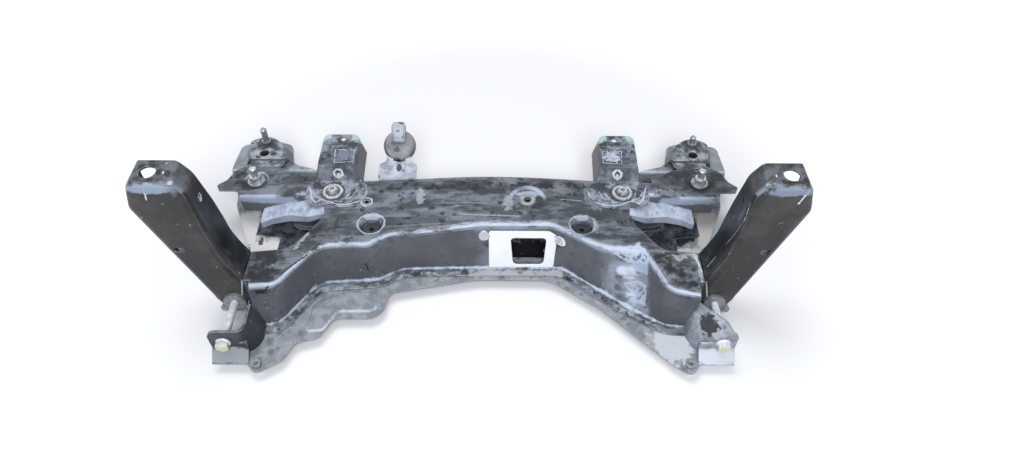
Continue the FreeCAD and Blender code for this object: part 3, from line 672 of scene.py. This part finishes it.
@dataclass(frozen=True)
class Trail:
    """Wear along a line of points.

    The value is the strength on the line and near it, and then falls evenly to 0 at the width.
    """

    layer: Layer
    line: tuple[Point, ...]
    width: float
    strength: float = 1.0
    steepness: float = 1.4

    def value(self, places: np.ndarray) -> np.ndarray:
        """Wear at each point.

        Args:
            places: points in millimetres, one row each.

        Returns:
            Values from 0 to the strength.
        """
        nearest = np.full(len(places), np.inf)
        for a, b in zip(self.line, self.line[1:]):
            start, run = np.array(a), np.array(b) - np.array(a)
            share = np.clip((places - start) @ run / (run @ run), 0, 1)
            foot = start + share[:, None] * run
            nearest = np.minimum(nearest, np.linalg.norm(places - foot, axis=1))
        return self.strength * np.clip(self.steepness * (1 - nearest / self.width), 0, 1)


@dataclass
class Skin:
    """Fine-meshed stand-in for a pressed sheet node, smooth by angle, dented, worn and given
    painted light.
    """

    node: str
    limit: float = 9.0
    halvings: int = 5
    crease: float = 28.0
    weld: float = 0.01
    dents: tuple[Dent, ...] = ()
    trails: tuple[Trail, ...] = ()

    def refined(self, mesh: bpy.types.Mesh) -> bmesh.types.BMesh:
        """Joins the mesh's loose triangles and halves, a few times over, its edges past the limit.

        Args:
            mesh: the CAD node's mesh.

        Returns:
            The finer mesh.
        """
        form = bmesh.new()
        form.from_mesh(mesh)
        bmesh.ops.remove_doubles(form, verts=form.verts, dist=self.weld * MM)
        for _ in range(self.halvings):
            long = [e for e in form.edges if e.calc_length() > self.limit * MM]
            bmesh.ops.subdivide_edges(form, edges=long, cuts=1)
            many = [f for f in form.faces if len(f.verts) > 3]
            bmesh.ops.triangulate(form, faces=many)
        bend = math.radians(self.crease)
        for edge in form.edges:
            edge.smooth = len(edge.link_faces) == 2 and edge.calc_face_angle(math.pi) < bend
        for face in form.faces:
            face.smooth = True
        return form

    def build(self, frame: dict[str, Any], material: bpy.types.Material,
              slot: str) -> bpy.types.Object:
        """Makes the skin from the node's mesh.

        Args:
            material: finish of the piece.
            slot: not used.

        Returns:
            The new piece, which replaces the node.
        """
        mesh = bpy.data.meshes.new(f"{self.node}_skin")
        form = self.refined(frame["nodes"][self.node].data)
        form.to_mesh(mesh)
        form.free()
        places = np.empty(len(mesh.vertices) * 3, np.float32)
        mesh.vertices.foreach_get("co", places)
        places = places.reshape(-1, 3).astype(float) / MM
        moved = places + sum((dent.shift(places) for dent in self.dents), np.zeros(3))
        mesh.vertices.foreach_set("co", (moved * MM).ravel())
        for layer in Layer:
            values = np.zeros(len(places))
            for trail in self.trails:
                if trail.layer is layer:
                    values = np.maximum(values, trail.value(places))
            mesh.attributes.new(layer.value, "FLOAT", "POINT")
            mesh.attributes[layer.value].data.foreach_set("value", values)
        mesh.materials.append(material)
        mesh.update()
        mesh.validate()
        piece = placed(f"{self.node}_skin", mesh)
        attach(piece, "root")
        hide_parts(self.node)
        LOG.info("%s: %d faces in %s", piece.name, len(mesh.polygons), material.name)
        return piece


def dress(frame: dict[str, Any], names: tuple[str, ...], material: bpy.types.Material) -> None:
    """Gives CAD nodes a finish.

    Args:
        names: nodes to be dressed.
        material: their finish.
    """
    for name in names:
        mesh = frame["nodes"][name].data
        mesh.materials.clear()
        mesh.materials.append(material)
        LOG.info("%s dressed in %s", name, material.name)


def sides(*names: str) -> tuple[str, ...]:
    """Names of the left and the right node of each pair."""
    return tuple(f"{side}_{name}" for name in names for side in SIDES)


@dataclass
class Shells:
    """The two pressings of the beam, and the gussets between the beam and its wings."""

    # Foot of the front wall on the flange, from the left end to the right.
    root: tuple[Point, ...] = (
        (-345, -172, 22), (-312, -170, 22), (-262, -88, 22), (-165, -81, 22), (-125, -58, 22),
        (14, -55, 22), (143, -55, 22), (204, -103, 22), (256, -142, 22), (302, -171, 22),
        (345, -174, 22))
    # Middle of the space behind the window, which painted shade darkens.
    inside: tuple[Point, ...] = ((30, 0, 56), (145, 0, 56))
    # Bow of the beam's rear edge, shared by both shells.
    bow: Dent = Dent((40, 110, 60), (300, 90, 200), (0, 16, 0))

    def upper_trails(self) -> tuple[Trail, ...]:
        """Wear and painted light of the upper shell: a painted highlight along the wall's foot,
        dusty flange and folds, soot, and painted shade behind the window.

        Returns:
            The trails of each layer.
        """
        mastic = ((-10, -66, 22), (30, -70, 22), (90, -70, 22), (135, -68, 22))
        return (
            # Painted highlight along the foot of the front wall.
            Trail(Layer.PAINTED_HIGHLIGHT, self.root, 7, 0.68),
            Trail(Layer.DUST, tuple((x, y - 13, z) for x, y, z in self.root[1:6]), 16, 0.46),
            Trail(Layer.DUST, tuple((x, y - 13, z) for x, y, z in self.root[5:10]), 7, 0.55),
            Trail(Layer.DUST, mastic, 18, 0.75),
            Trail(Layer.DUST, ((349, -86, 102), (350, -150, 102)), 5, 0.8),
            Trail(Layer.DUST, ((300, -88, 102), (318, -98, 102), (345, -90, 102)), 9, 0.8),
            Trail(Layer.DUST, ((-259, 2, 102), (-269, -40, 102), (-287, -80, 102)), 7, 0.75),
            Trail(Layer.SOOT_AND_SHADE, ((-335, -55, 102), (-325, -140, 102)), 46, 0.75),
            Trail(Layer.SOOT_AND_SHADE, ((-270, -50, 102), (-230, -30, 102)), 30, 0.5),
            Trail(Layer.SOOT_AND_SHADE, ((300, -100, 102), (330, -150, 102)), 34, 0.6),
            Trail(Layer.SOOT_AND_SHADE, ((-150, 55, 102), (180, 60, 102)), 16, 0.55),
            Trail(Layer.SOOT_AND_SHADE, ((330, 95, 90), (420, 100, 88)), 34, 0.6),
            Trail(Layer.SOOT_AND_SHADE, ((-395, 70, 88), (-420, 100, 88)), 22, 0.6),
            # Painted shade in the hollow behind the window.
            Trail(Layer.SOOT_AND_SHADE, self.inside, 62),
        )

    def upper_dents(self) -> tuple[Dent, ...]:
        """Bow, the knocks in the right pocket's wall, and two shallow sags of the beam's top.

        Returns:
            The dents of the upper shell.
        """
        return (
            self.bow,
            Dent((243, -95, 78), (34, 24, 22), (-1.5, 4.0, -3.0)),
            Dent((256, -124, 44), (22, 22, 20), (-1.5, 4.0, -2.5)),
            Dent((232, -104, 60), (14, 12, 12), (1.5, -3.0, 2.0)),
            Dent((-120, 10, 102), (90, 40, 10), (0, 0, -0.8)),
            Dent((20, 20, 102), (60, 50, 10), (0, 0, -0.6)),
        )

    def upper_marks(self) -> tuple[Mark, ...]:
        """Painted highlights on the lips, dimple rims, pocket facets and end seam, painted shade in
        the dimples, rubs, cracks, rings and flange scallops.

        Returns:
            The marks of the upper shell, the lowest first.
        """
        # Painted highlights on the wings' front lips, in the sky's blue-white.
        lip_highlights = tuple(Patch((x, 45, 81), (62, 9, 10), "#aab5c8", 0.85, 10, 0.3)
                     for x in (-356, 356))
        cracks = tuple(crack for line in (
            ((-250, -70, 102), (-270, -96, 100), (-292, -122, 102), (-317, -153, 96),
             (-338, -170, 70)),
            ((-181, -76, 60), (-176, -84, 30)), ((-176, -80, 44), (-170, -86, 24)),
            ((306, 30, 101), (304, 10, 98)),
        ) for crack in streak(line, 1.7, "#0e0f11", 0.95))
        rubs_and_dimple_light = (
            Scratch((-28, -5, 102), (71, -9, 102), 2.0, "#a5adb8", 0.75),
            Scratch((-60, 20, 102), (10, 22, 102), 1.6, "#8e96a1", 0.6),
            Scratch((140, 30, 102), (176, 26, 102), 1.6, "#9aa2ad", 0.7),
            Scratch((-150, -34, 102), (-60, -26, 102), 1.6, "#8e96a1", 0.5),
            Patch((-97, 36, 102), (8, 18, 6), "#a3a9b1", 0.85, 6, 0.8),
            Patch((52, 24, 102), (9, 20, 6), "#a3a9b1", 0.8, 5, 0.9),
            Patch((86, 44, 102), (26, 8, 6), "#b4bccb", 0.85, 7, 0.4),
            # Painted shade inside the two dimples.
            *(Patch((x, -33, 92), (20, 20, 12), "#1d2024", 0.85, 5, 0.2) for x in (-173, 173)),
            # Painted highlights on the dimples' rear rims.
            Patch((-173, -11, 100), (18, 5, 6), "#bcc5d3", 0.85, 5, 0.3),
            Patch((173, -11, 100), (14, 4, 6), "#bcc5d3", 0.8, 5, 0.4),
            Patch((194, -30, 102), (5, 15, 6), "#9ba2ad", 0.7, 4, 0.7),
            Patch((387, 86, 88), (62, 40, 6), "#33363a", 0.45, 24, 0.4),
            Patch((387, 84, 88), (28, 26, 6), "#1b1d20", 0.85, 5, 0.15),
            Patch((-387, 84, 88), (24, 22, 6), "#2a2d31", 0.6, 5, 0.3),
            Patch((200, 40, 102), (22, 34, 6), "#8d949f", 0.55, 6, 0.9),
        )
        # Painted highlights on the pressed facets of the right pocket's wall.
        facet_highlights = (
            FacetHighlight(((206, 98), (262, 102), (276, 100), (272, 86), (246, 76)), "#bcc7da", spots=6.0),
            FacetHighlight(((250, 79), (274, 90), (274, 77), (254, 68)), "#a9b8d2", 0.8, rim_highlight=9.0),
            FacetHighlight(((236, 53), (256, 60), (273, 68), (272, 36), (257, 31)), "#b4c0d4", 0.85, 6.0),
        )
        rings = (
            Ring((-186, 22, 102), 9, 1.8, "#cdd3dc"), Ring((-173, -27, 101), 22, 1.8, strength=0.7),
            Ring((173, -27, 101), 21, 1.8, strength=0.45),
        )
        scallops = tuple(Patch((x, -81, 22), (9, 5, 6), "#6d7177", 0.85, 6, 0.5)
                         for x in (12, 54, 92, 126))
        # Painted highlight along the raised weld seam at the beam's right end.
        seam_highlight = streak(((346, -84, 102), (354, -128, 102), (357, -143, 96)), 2.0, "#d3d8de")
        return lip_highlights + rubs_and_dimple_light + cracks + facet_highlights + rings + scallops + seam_highlight

    def build(self, frame: dict[str, Any]) -> None:
        """Dresses the shells and the gussets.
        """
        # Black electrophoretic dip coat on deep-drawn steel. It reads as patchy near-black with a
        # grey film streaked along the beam, and an even, warmer grey on its steep walls that is a
        # painted reflection.
        upper = WornCoat("coat_black_upper_shell", layered=True, smear=(0.35, 1.0, 1.0),
                         wall_reflection_share=0.4, marks=self.upper_marks()).build()
        # The same coat under dry dust, which hides its gloss: the flange and the plate's corners
        # read as matt, pale grey.
        lower = WornCoat(
            "coat_dusty_lower_shell", tone="#7c8086", second="#8b8f95", haze="#a9adb4",
            haze_share=0.6, dust="#c6c8ca", spot="#3c3f44", spot_share=0.5, gloss=0.5, dull=0.75,
            layered=True, marks=(
                Patch((408, 20, 21), (26, 70, 12), "#dedcd6", 0.95, 16, 0.3),
                Patch((368, -36, 21), (40, 30, 12), "#dedcd6", 0.95, 12, 0.4),
                Patch((-410, 20, 21), (26, 70, 12), "#f2f1ee", 0.95, 16, 0.3),
                Patch((-364, -24, 21), (42, 36, 12), "#f2f1ee", 0.95, 14, 0.3),
                Patch((-378, 2, 21), (4, 9, 6), "#1c1d1f", 0.9, 5, 0.9),
                Patch((-398, -22, 21), (5, 14, 6), "#1c1d1f", 0.9, 6, 1.0),
                Patch((310, -205, 21), (36, 40, 8), "#ccd0d6", 0.85, 12, 0.6),
            )).build()
        # The same coat with a painted sky reflection: smooth, and painted blue-grey all over.
        gusset = WornCoat("coat_painted_sky_reflection_bush_gusset", tone="#98a3b6", second="#b6c0d2",
                          haze="#cbd4e3", haze_share=0.8, spot_share=0.3, edge="#d8dfea").build()
        Skin("upper_shell", dents=self.upper_dents(),
             trails=self.upper_trails()).build(frame, upper, "upper_paint")
        # Painted shade: the plate is darkened inside the beam, in the bays and in a corner of the
        # right bay; and it is narrower outside the horns' feet.
        shade = Trail(Layer.SOOT_AND_SHADE, tuple((x, y, 10) for x, y, _ in self.inside), 44)
        bays = tuple(Trail(Layer.SOOT_AND_SHADE, ((x * 300, 34, 21), (x * 384, 38, 21)), 34)
                     for x in SIDES.values())
        wedge = Trail(Layer.SOOT_AND_SHADE, ((338, 4, 21), (366, 16, 21)), 20)
        slim = tuple(Dent((x * 414, -102, 12), (16, 48, 30), (-x * 10, 0, 0))
                     for x in SIDES.values())
        Skin("lower_shell", dents=(self.bow,) + slim,
             trails=(shade, wedge) + bays).build(frame, lower, "lower_paint")
        dress(frame, sides("bush_gusset"), gusset)


@dataclass
class BayShadeSheets:
    """Near-black sheets of painted shade in the open bottom of the two wishbone bays, within the
    plate's thickness.

    The plan is the right sheet's outline, and the left one mirrors it.
    """

    plan: tuple[tuple[float, float], ...] = (
        (250, -74), (346, -74), (346, 12), (390, 17), (390, 52), (250, 52))
    low: float = 19.5
    high: float = 20.6

    def sheet(self, sign: int) -> tuple[np.ndarray, list[np.ndarray]]:
        """Outline carried straight up from the low to the high level, as one closed form.

        With n corners in the plan, corner i is row i at the low level and row i + n at the high
        one. Wall i joins corner i to the next at both levels, and a mirrored form has its faces
        turned round, so that all faces point outwards.

        Args:
            sign: 1 for the right sheet, -1 for the left one.

        Returns:
            The corners in metres and the faces.
        """
        plan = np.array(self.plan) * (sign, 1)
        number = len(plan)
        levels = np.repeat((self.low, self.high), number)
        corners = np.column_stack((np.tile(plan, (2, 1)), levels)) * MM
        ring = np.arange(number)
        after = np.roll(ring, -1)
        walls = np.column_stack((ring, after, after + number, ring + number))
        faces = [ring[::-1], ring + number, *walls]
        return corners, faces if sign > 0 else [face[::-1] for face in faces]

    def build(self, frame: dict[str, Any]) -> None:
        """Makes both sheets.
        """
        # Painted shade: the shells' dip coat made near-black, with a little film, as where light
        # hardly reaches.
        coat = WornCoat("coat_shaded_bay_floor", tone="#2a2d31", second="#42464c",
                        haze="#7b8189", haze_share=0.5, rim_highlight_share=0.0).build()
        for side, sign in SIDES.items():
            corners, faces = self.sheet(sign)
            mesh = bpy.data.meshes.new(f"{side}_bay_floor")
            mesh.from_pydata(corners.tolist(), [], [face.tolist() for face in faces])
            mesh.materials.append(coat)
            piece = placed(f"{side}_bay_floor", mesh)
            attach(piece, "root")
            LOG.info("%s: %d faces in %s", piece.name, len(faces), coat.name)


@dataclass
class Horns:
    """The two upright horns, with the scratches of each and painted highlights on their top front
    edges.
    """

    right_marks: tuple[Mark, ...] = (
        *streak(((384, -137, 272), (383, -139, 240), (379, -131, 194)), 0.9, "#ccd2da", 0.8),
        Scratch((379, -131, 194), (373, -118, 152), 0.9, "#ccd2da", 0.7),
        *streak(((384, -128, 262), (382, -124, 225), (377, -116, 190)), 0.8, "#a9b0ba", 0.7),
        Scratch((359, -123, 112), (368, -121, 136), 0.9, "#ccd2da", 0.8),
        Scratch((362, -131, 108), (370, -128, 132), 0.8, "#a9b0ba", 0.7),
        Scratch((446, -144, 278), (453, -144, 303), 1.6, "#eef1f5", 0.95),
        Scratch((430, -144, 236), (437, -144, 240), 0.8, "#9a9fa8", 0.6),
        # Painted highlight along the horn's top front edge.
        Patch((430, -143, 300), (34, 6, 9), "#93a0b6", 0.8, 9, 0.5),
    )
    left_marks: tuple[Mark, ...] = (
        Scratch((-434, -143, 303), (-438, -144, 280), 1.4, "#eef1f5", 0.95),
        # Painted highlight along the horn's top front edge.
        Patch((-428, -143, 300), (38, 6, 9), "#a3b0c6", 0.85, 9, 0.4),
        Patch((-396, -132, 296), (12, 20, 12), "#70767f", 0.5, 9, 0.8),
        Ring((-379, -110, 250), 6.5, 1.6, "#e6e9ee", 0.9),
    )

    def build(self, frame: dict[str, Any]) -> None:
        """Dresses both horns.
        """
        for side, sign in SIDES.items():
            spots = (Patch((sign * 412, -122, 310), (4, 5, 4), "#355a52", 0.5, 4, 0.7),
                     Scratch((sign * 412, -124, 310), (sign * 412, -121, 310), 1.5, "#f0f2f4"),
                     Patch((sign * 436, -126, 155), (6, 7, 9), "#efeeea", 0.95, 4, 0.3),
                     *streak(((sign * 357, -143, 99), (sign * 366, -144, 62)), 1.6, "#ccd2da"))
            marks = self.right_marks if sign > 0 else self.left_marks
            # Black dip coat that weather has browned: darker and warmer than the beam's, with
            # less film, so that fine pale scratches stand out.
            coat = WornCoat(f"coat_brown_black_{side}_horn", tone="#2f2e2e", second="#454342",
                            haze="#868d99", haze_share=0.45, layered=True,
                            marks=spots + marks).build()
            # Darker along the horn's inner side.
            inner = ((sign * 378, -100, 270), (sign * 376, -100, 180), (sign * 360, -110, 110))
            trails = (Trail(Layer.SOOT_AND_SHADE, inner, 40, 0.8),)
            Skin(f"{side}_horn", trails=trails).build(frame, coat, "horn_paint")


@dataclass
class Brackets:
    """Front, corner, rack and hanger brackets."""

    def rack_marks(self) -> tuple[Mark, ...]:
        """Scuffs of the rack brackets: pale rear corners and pad, and a scratched flange.

        Returns:
            The marks of both brackets, the lowest first.
        """
        pad = ((216, 121), (249, 121), (246, 90), (215, 93), (216, 121))
        hem = ((186, 50), (190, 30), (198, 21), (214, 15), (230, 13), (248, 20), (262, 25),
               (271, 18), (279, 28), (283, 44), (287, 54))
        scuffs = ((206, 46), (212, 30), (222, 26), (216, 40), (230, 20), (272, 30), (280, 44))
        marks: list[Mark] = []
        for side in SIDES.values():
            marks += [Patch((side * x, 160, 124), (16, 18, 12), "#b9cfc9", 0.85, 8, 0.5)
                      for x in (212, 274)]
            marks += [Patch((side * 236, 100, 124), (34, 30, 12), "#30343a", 0.6, 12, 0.5),
                      Patch((side * 232, 106, 128), (15, 13, 4),
                            "#c0c9dc" if side > 0 else "#7d8796", 0.85, 6, 1.0)]
            for line, z, width, tone, strength in ((pad, 127.6, 1.3, "#c3cbd8", 0.8),
                                                   (hem, 104, 1.8, "#c9cfd9", 0.75),
                                                   (scuffs, 104, 0.9, "#d3d7dd", 0.7)):
                marks += streak(tuple((side * x, y, z) for x, y in line), width, tone, strength)
            marks += [Ring((side * 239, 74, 117), 7, 2.2, "#e0e5ec", 0.8),
                      Ring((side * 245, 42, 104), 19, 1.8, "#2b2e33", 0.8)]
        return tuple(marks)

    def coats(self) -> dict[tuple[str, ...], WornCoat]:
        """Finish of each bracket, by the nodes that have it.

        Returns:
            The coats, with the nodes that have each as its key.
        """
        feet = Patch((371, -236, 31), (40, 16, 13), "#9a9fa6", 0.9, 14, 0.4)
        return {
            # Dip coat on folded plate, worn thin: dark, with a patchy film and a grey lower edge.
            ("left_front_bracket",): WornCoat(
                "coat_worn_left_front_bracket", tone="#33353a", second="#474a4f", haze="#8d929a",
                haze_share=0.7, rim_highlight_share=0.0, marks=(replace(feet, centre=(-371, -236, 31)),)),
            # The same plate under a thick, light film: pale grey round one dark spot.
            ("right_front_bracket",): WornCoat(
                "coat_dusty_right_front_bracket", tone="#777c84", second="#a0a6af",
                haze="#c6cdd8", haze_share=0.9, rim_highlight_share=0.3, marks=(
                    replace(feet, tone="#cfd5dc"),
                    Patch((358, -200, 66), (17, 18, 17), "#2d2f32", 0.95, 7, 0.8),
                )),
            # Dip coat under dust that has settled on the covers: grey, blotched and dull.
            sides("corner_bracket"): WornCoat(
                "coat_dusty_corner_bracket", tone="#3e4247", second="#5f646b", haze="#b0b5bd",
                haze_share=0.8, rim_highlight_share=0.5, smear=(1, 1, 1.6),
                marks=tuple(Patch((x, 172, 95), (22, 14, 5), "#2a2e33", 0.8, 8, 0.5)
                            for x in (-385, 385))),
            # Dip coat, dark and rather glossy, that tools and the rack's feet have scuffed.
            sides("rack_bracket"): WornCoat(
                "coat_worn_rack_bracket", tone="#363b41", second="#545a63", haze="#b2bac7",
                haze_share=0.6, rim_highlight_share=0.25, marks=self.rack_marks()),
            # Thin steel under dry road dust: light grey and matt, with no bright crown.
            ("hanger_bracket", "hanger_lug"): WornCoat(
                "steel_dusty_hanger", tone="#8b919b", second="#b0b7c2", haze="#ccd2dc",
                haze_share=0.8, gloss=0.5, rim_highlight_share=0.0, marks=(
                    Patch((-138, 98, 107), (5, 9, 8), "#26282c", 0.9, 5, 0.3),
                )),
            # Moulded rubber, gone grey with dust: mid-grey, and matt all over.
            ("hanger_rubber",): WornCoat(
                "rubber_dusty_hanger", tone="#55565a", second="#8c8d8f", haze="#c3c4c6",
                haze_share=0.6, gloss=0.6, dull=0.85, rim_highlight_share=0.0, edge="#b9babd", marks=(
                    Patch((-140, 113, 105), (5, 8, 11), "#1e2023", 0.9, 5, 0.3),
                )),
            # White paint on thin sheet steel: bright and even, with a grey dab and a ring at
            # each upper corner.
            ("window_plate",): WornCoat(
                "paint_white_window_plate", tone="#fafbfc", second="#f4f5f6", haze="#fafbfc",
                edge="#fcfcfc", spot="#c9c7c2", spot_share=0.15, speck_share=0.0, rim_highlight_share=0.0,
                marks=(
                    Patch((11.5, -33, 80), (10.5, 8, 10.5), "#b4bbc6", 0.9, 4, 0.7),
                    Patch((138, -36, 77), (10.5, 10, 10.5), "#b4bbc6", 0.9, 4, 0.7),
                    Ring((11.5, -56, 80), 5, 1.2, "#6f7680"),
                    Ring((138, -58, 77), 5, 1.2, "#6f7680"),
                )),
        }

    def build(self, frame: dict[str, Any]) -> None:
        """Dresses the brackets.
        """
        for names, coat in self.coats().items():
            dress(frame, names, coat.build())


@dataclass
class Fasteners:
    """Bolts, nuts, washers, sleeves and studs."""

    def build(self, frame: dict[str, Any]) -> None:
        """Dresses the fasteners.
        """
        finishes = {
            Hardware.YELLOW_ZINC: sides("front_bolt"),
            Hardware.BRIGHT_ZINC: sides("rear_nut", "rear_bolt"),
            Hardware.BARE_STEEL: sides("locating_stud", "lug_nut", "horn_collar", "rack_bolt",
                                       "rear_washer") + ("rod_collar",),
            Hardware.DARK_STEEL: sides("front_nut", "dimple_nut", "rack_nut", "rack_sleeve",
                                       "mount_sleeve") + ("rod_weld_nut",),
        }
        for finish, names in finishes.items():
            dress(frame, names, finish.value.build())


@dataclass(frozen=True)
class Lamp:
    """Square lamp: its place and width in metres, its power in watts and its colour."""

    place: Point
    width: float
    power: float
    tone: str


@dataclass
class Studio:
    """Camera, floor, world and lamps."""

    # The camera's place in millimetres and its turns in degrees, fitted to the photograph.
    eye: Point = (43.97, -839.0, 1017.0)
    pitch: float = 48.897
    yaw: float = 0.9767
    roll: float = 0.9664
    focal_px: float = 746.7
    image_px: float = 1024.0
    film: float = 36.0
    nearest_mm: float = 10.0
    sky_strength: float = 0.4
    floor_reach_m: float = 6.0
    # The floor's glow next to the object, and how far it rises away from it.
    glow: float = 0.03
    glow_rise: float = 0.5
    aim: Point = (0, 0, 0.05)
    lamps: dict[str, Lamp] = field(default_factory=lambda: {
        "lamp_front_sky": Lamp((0.2, -2.3, 2.5), 1.4, 76.0, "#f2f5fa"),
        "lamp_overhead": Lamp((-0.5, 0.5, 3.2), 1.6, 44.0, "#f4f6fa"),
    })

    def camera(self) -> None:
        """Sets the camera: forward from yaw and pitch, then turned about it by the roll."""
        pitch, yaw, roll = (math.radians(a) for a in (self.pitch, self.yaw, self.roll))
        ahead = Vector((math.sin(yaw) * math.cos(pitch), math.cos(yaw) * math.cos(pitch),
                        -math.sin(pitch)))
        level = Vector((math.cos(yaw), -math.sin(yaw), 0.0))
        above = level.cross(ahead)
        right = level * math.cos(roll) + above * math.sin(roll)
        upward = above * math.cos(roll) - level * math.sin(roll)
        lens = bpy.data.cameras.new("camera")
        lens.lens = self.focal_px / self.image_px * self.film
        lens.sensor_width = self.film
        lens.clip_start = self.nearest_mm * MM
        stand = placed("camera", lens)
        stand.matrix_world = Matrix((
            (right.x, upward.x, -ahead.x, self.eye[0] * MM),
            (right.y, upward.y, -ahead.y, self.eye[1] * MM),
            (right.z, upward.z, -ahead.z, self.eye[2] * MM),
            (0.0, 0.0, 0.0, 1.0)))
        bpy.context.scene.camera = stand

    def floor(self) -> None:
        """Pale floor that keeps the shadow and is white to the camera elsewhere."""
        # White paper: matt, and lit up to white for the camera where no shadow falls. For light
        # that reaches the object it stays a plain grey.
        paper = bpy.data.materials.new("floor_white_paper")
        graph = Graph(paper)
        away = graph.add("VectorMath", {0: graph.place}, "Value", operation="LENGTH")
        level = graph.add("Math", {0: masked(graph, self.glow_rise, (away, *Step.FLOOR_GLOW)),
                                   1: self.glow}, operation="ADD")
        glow = graph.add("Emission", {"Color": linear("#ffffff"), "Strength": level})
        matt = graph.add("BsdfDiffuse", {"Color": linear("#f4f4f4")})
        grey = graph.add("BsdfDiffuse", {"Color": linear("#c9c9c9")})
        lit = graph.add("AddShader", {0: glow, 1: matt})
        floor = graph.add("MixShader", {0: graph.seen(), 1: grey, 2: lit})
        graph.add("OutputMaterial", {"Surface": floor})
        mesh = bpy.data.meshes.new("floor")
        square = np.array([(-1, -1, 0), (1, -1, 0), (1, 1, 0), (-1, 1, 0)]) * self.floor_reach_m
        mesh.from_pydata(square.tolist(), [], [(0, 1, 2, 3)])
        mesh.materials.append(paper)
        placed("floor", mesh)

    def lights(self) -> None:
        """White backdrop, soft sky light and two large lamps."""
        world = bpy.data.worlds.new("sky")
        bpy.context.scene.world = world
        graph = Graph(world)
        white = graph.add("Background", {"Color": linear("#ffffff")})
        sky = graph.add("Background", {"Color": linear("#edf0f6"),
                                       "Strength": self.sky_strength})
        backdrop = graph.add("MixShader", {0: graph.seen(), 1: sky, 2: white})
        graph.add("OutputWorld", {"Surface": backdrop})
        for name, lamp in self.lamps.items():
            light = bpy.data.lights.new(name, "AREA")
            light.size = lamp.width
            light.energy = lamp.power
            light.color = linear(lamp.tone)[:3]
            stand = placed(name, light)
            stand.location = lamp.place
            turn = (Vector(self.aim) - Vector(lamp.place)).to_track_quat("-Z", "Y")
            stand.rotation_euler = turn.to_euler()


def main() -> None:
    """Builds the camera, the pieces and the studio."""
    logging.basicConfig(level=logging.INFO, format="%(name)s: %(message)s")
    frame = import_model()
    bpy.context.scene.view_settings.view_transform = "Standard"
    studio = Studio()
    studio.camera()
    for part in (Shells(), BayShadeSheets(), Horns(), Brackets(), Fasteners()):
        part.build(frame)
        LOG.info("%s built", type(part).__name__)
    studio.floor()
    studio.lights()


if __name__ == "__main__":
    main()
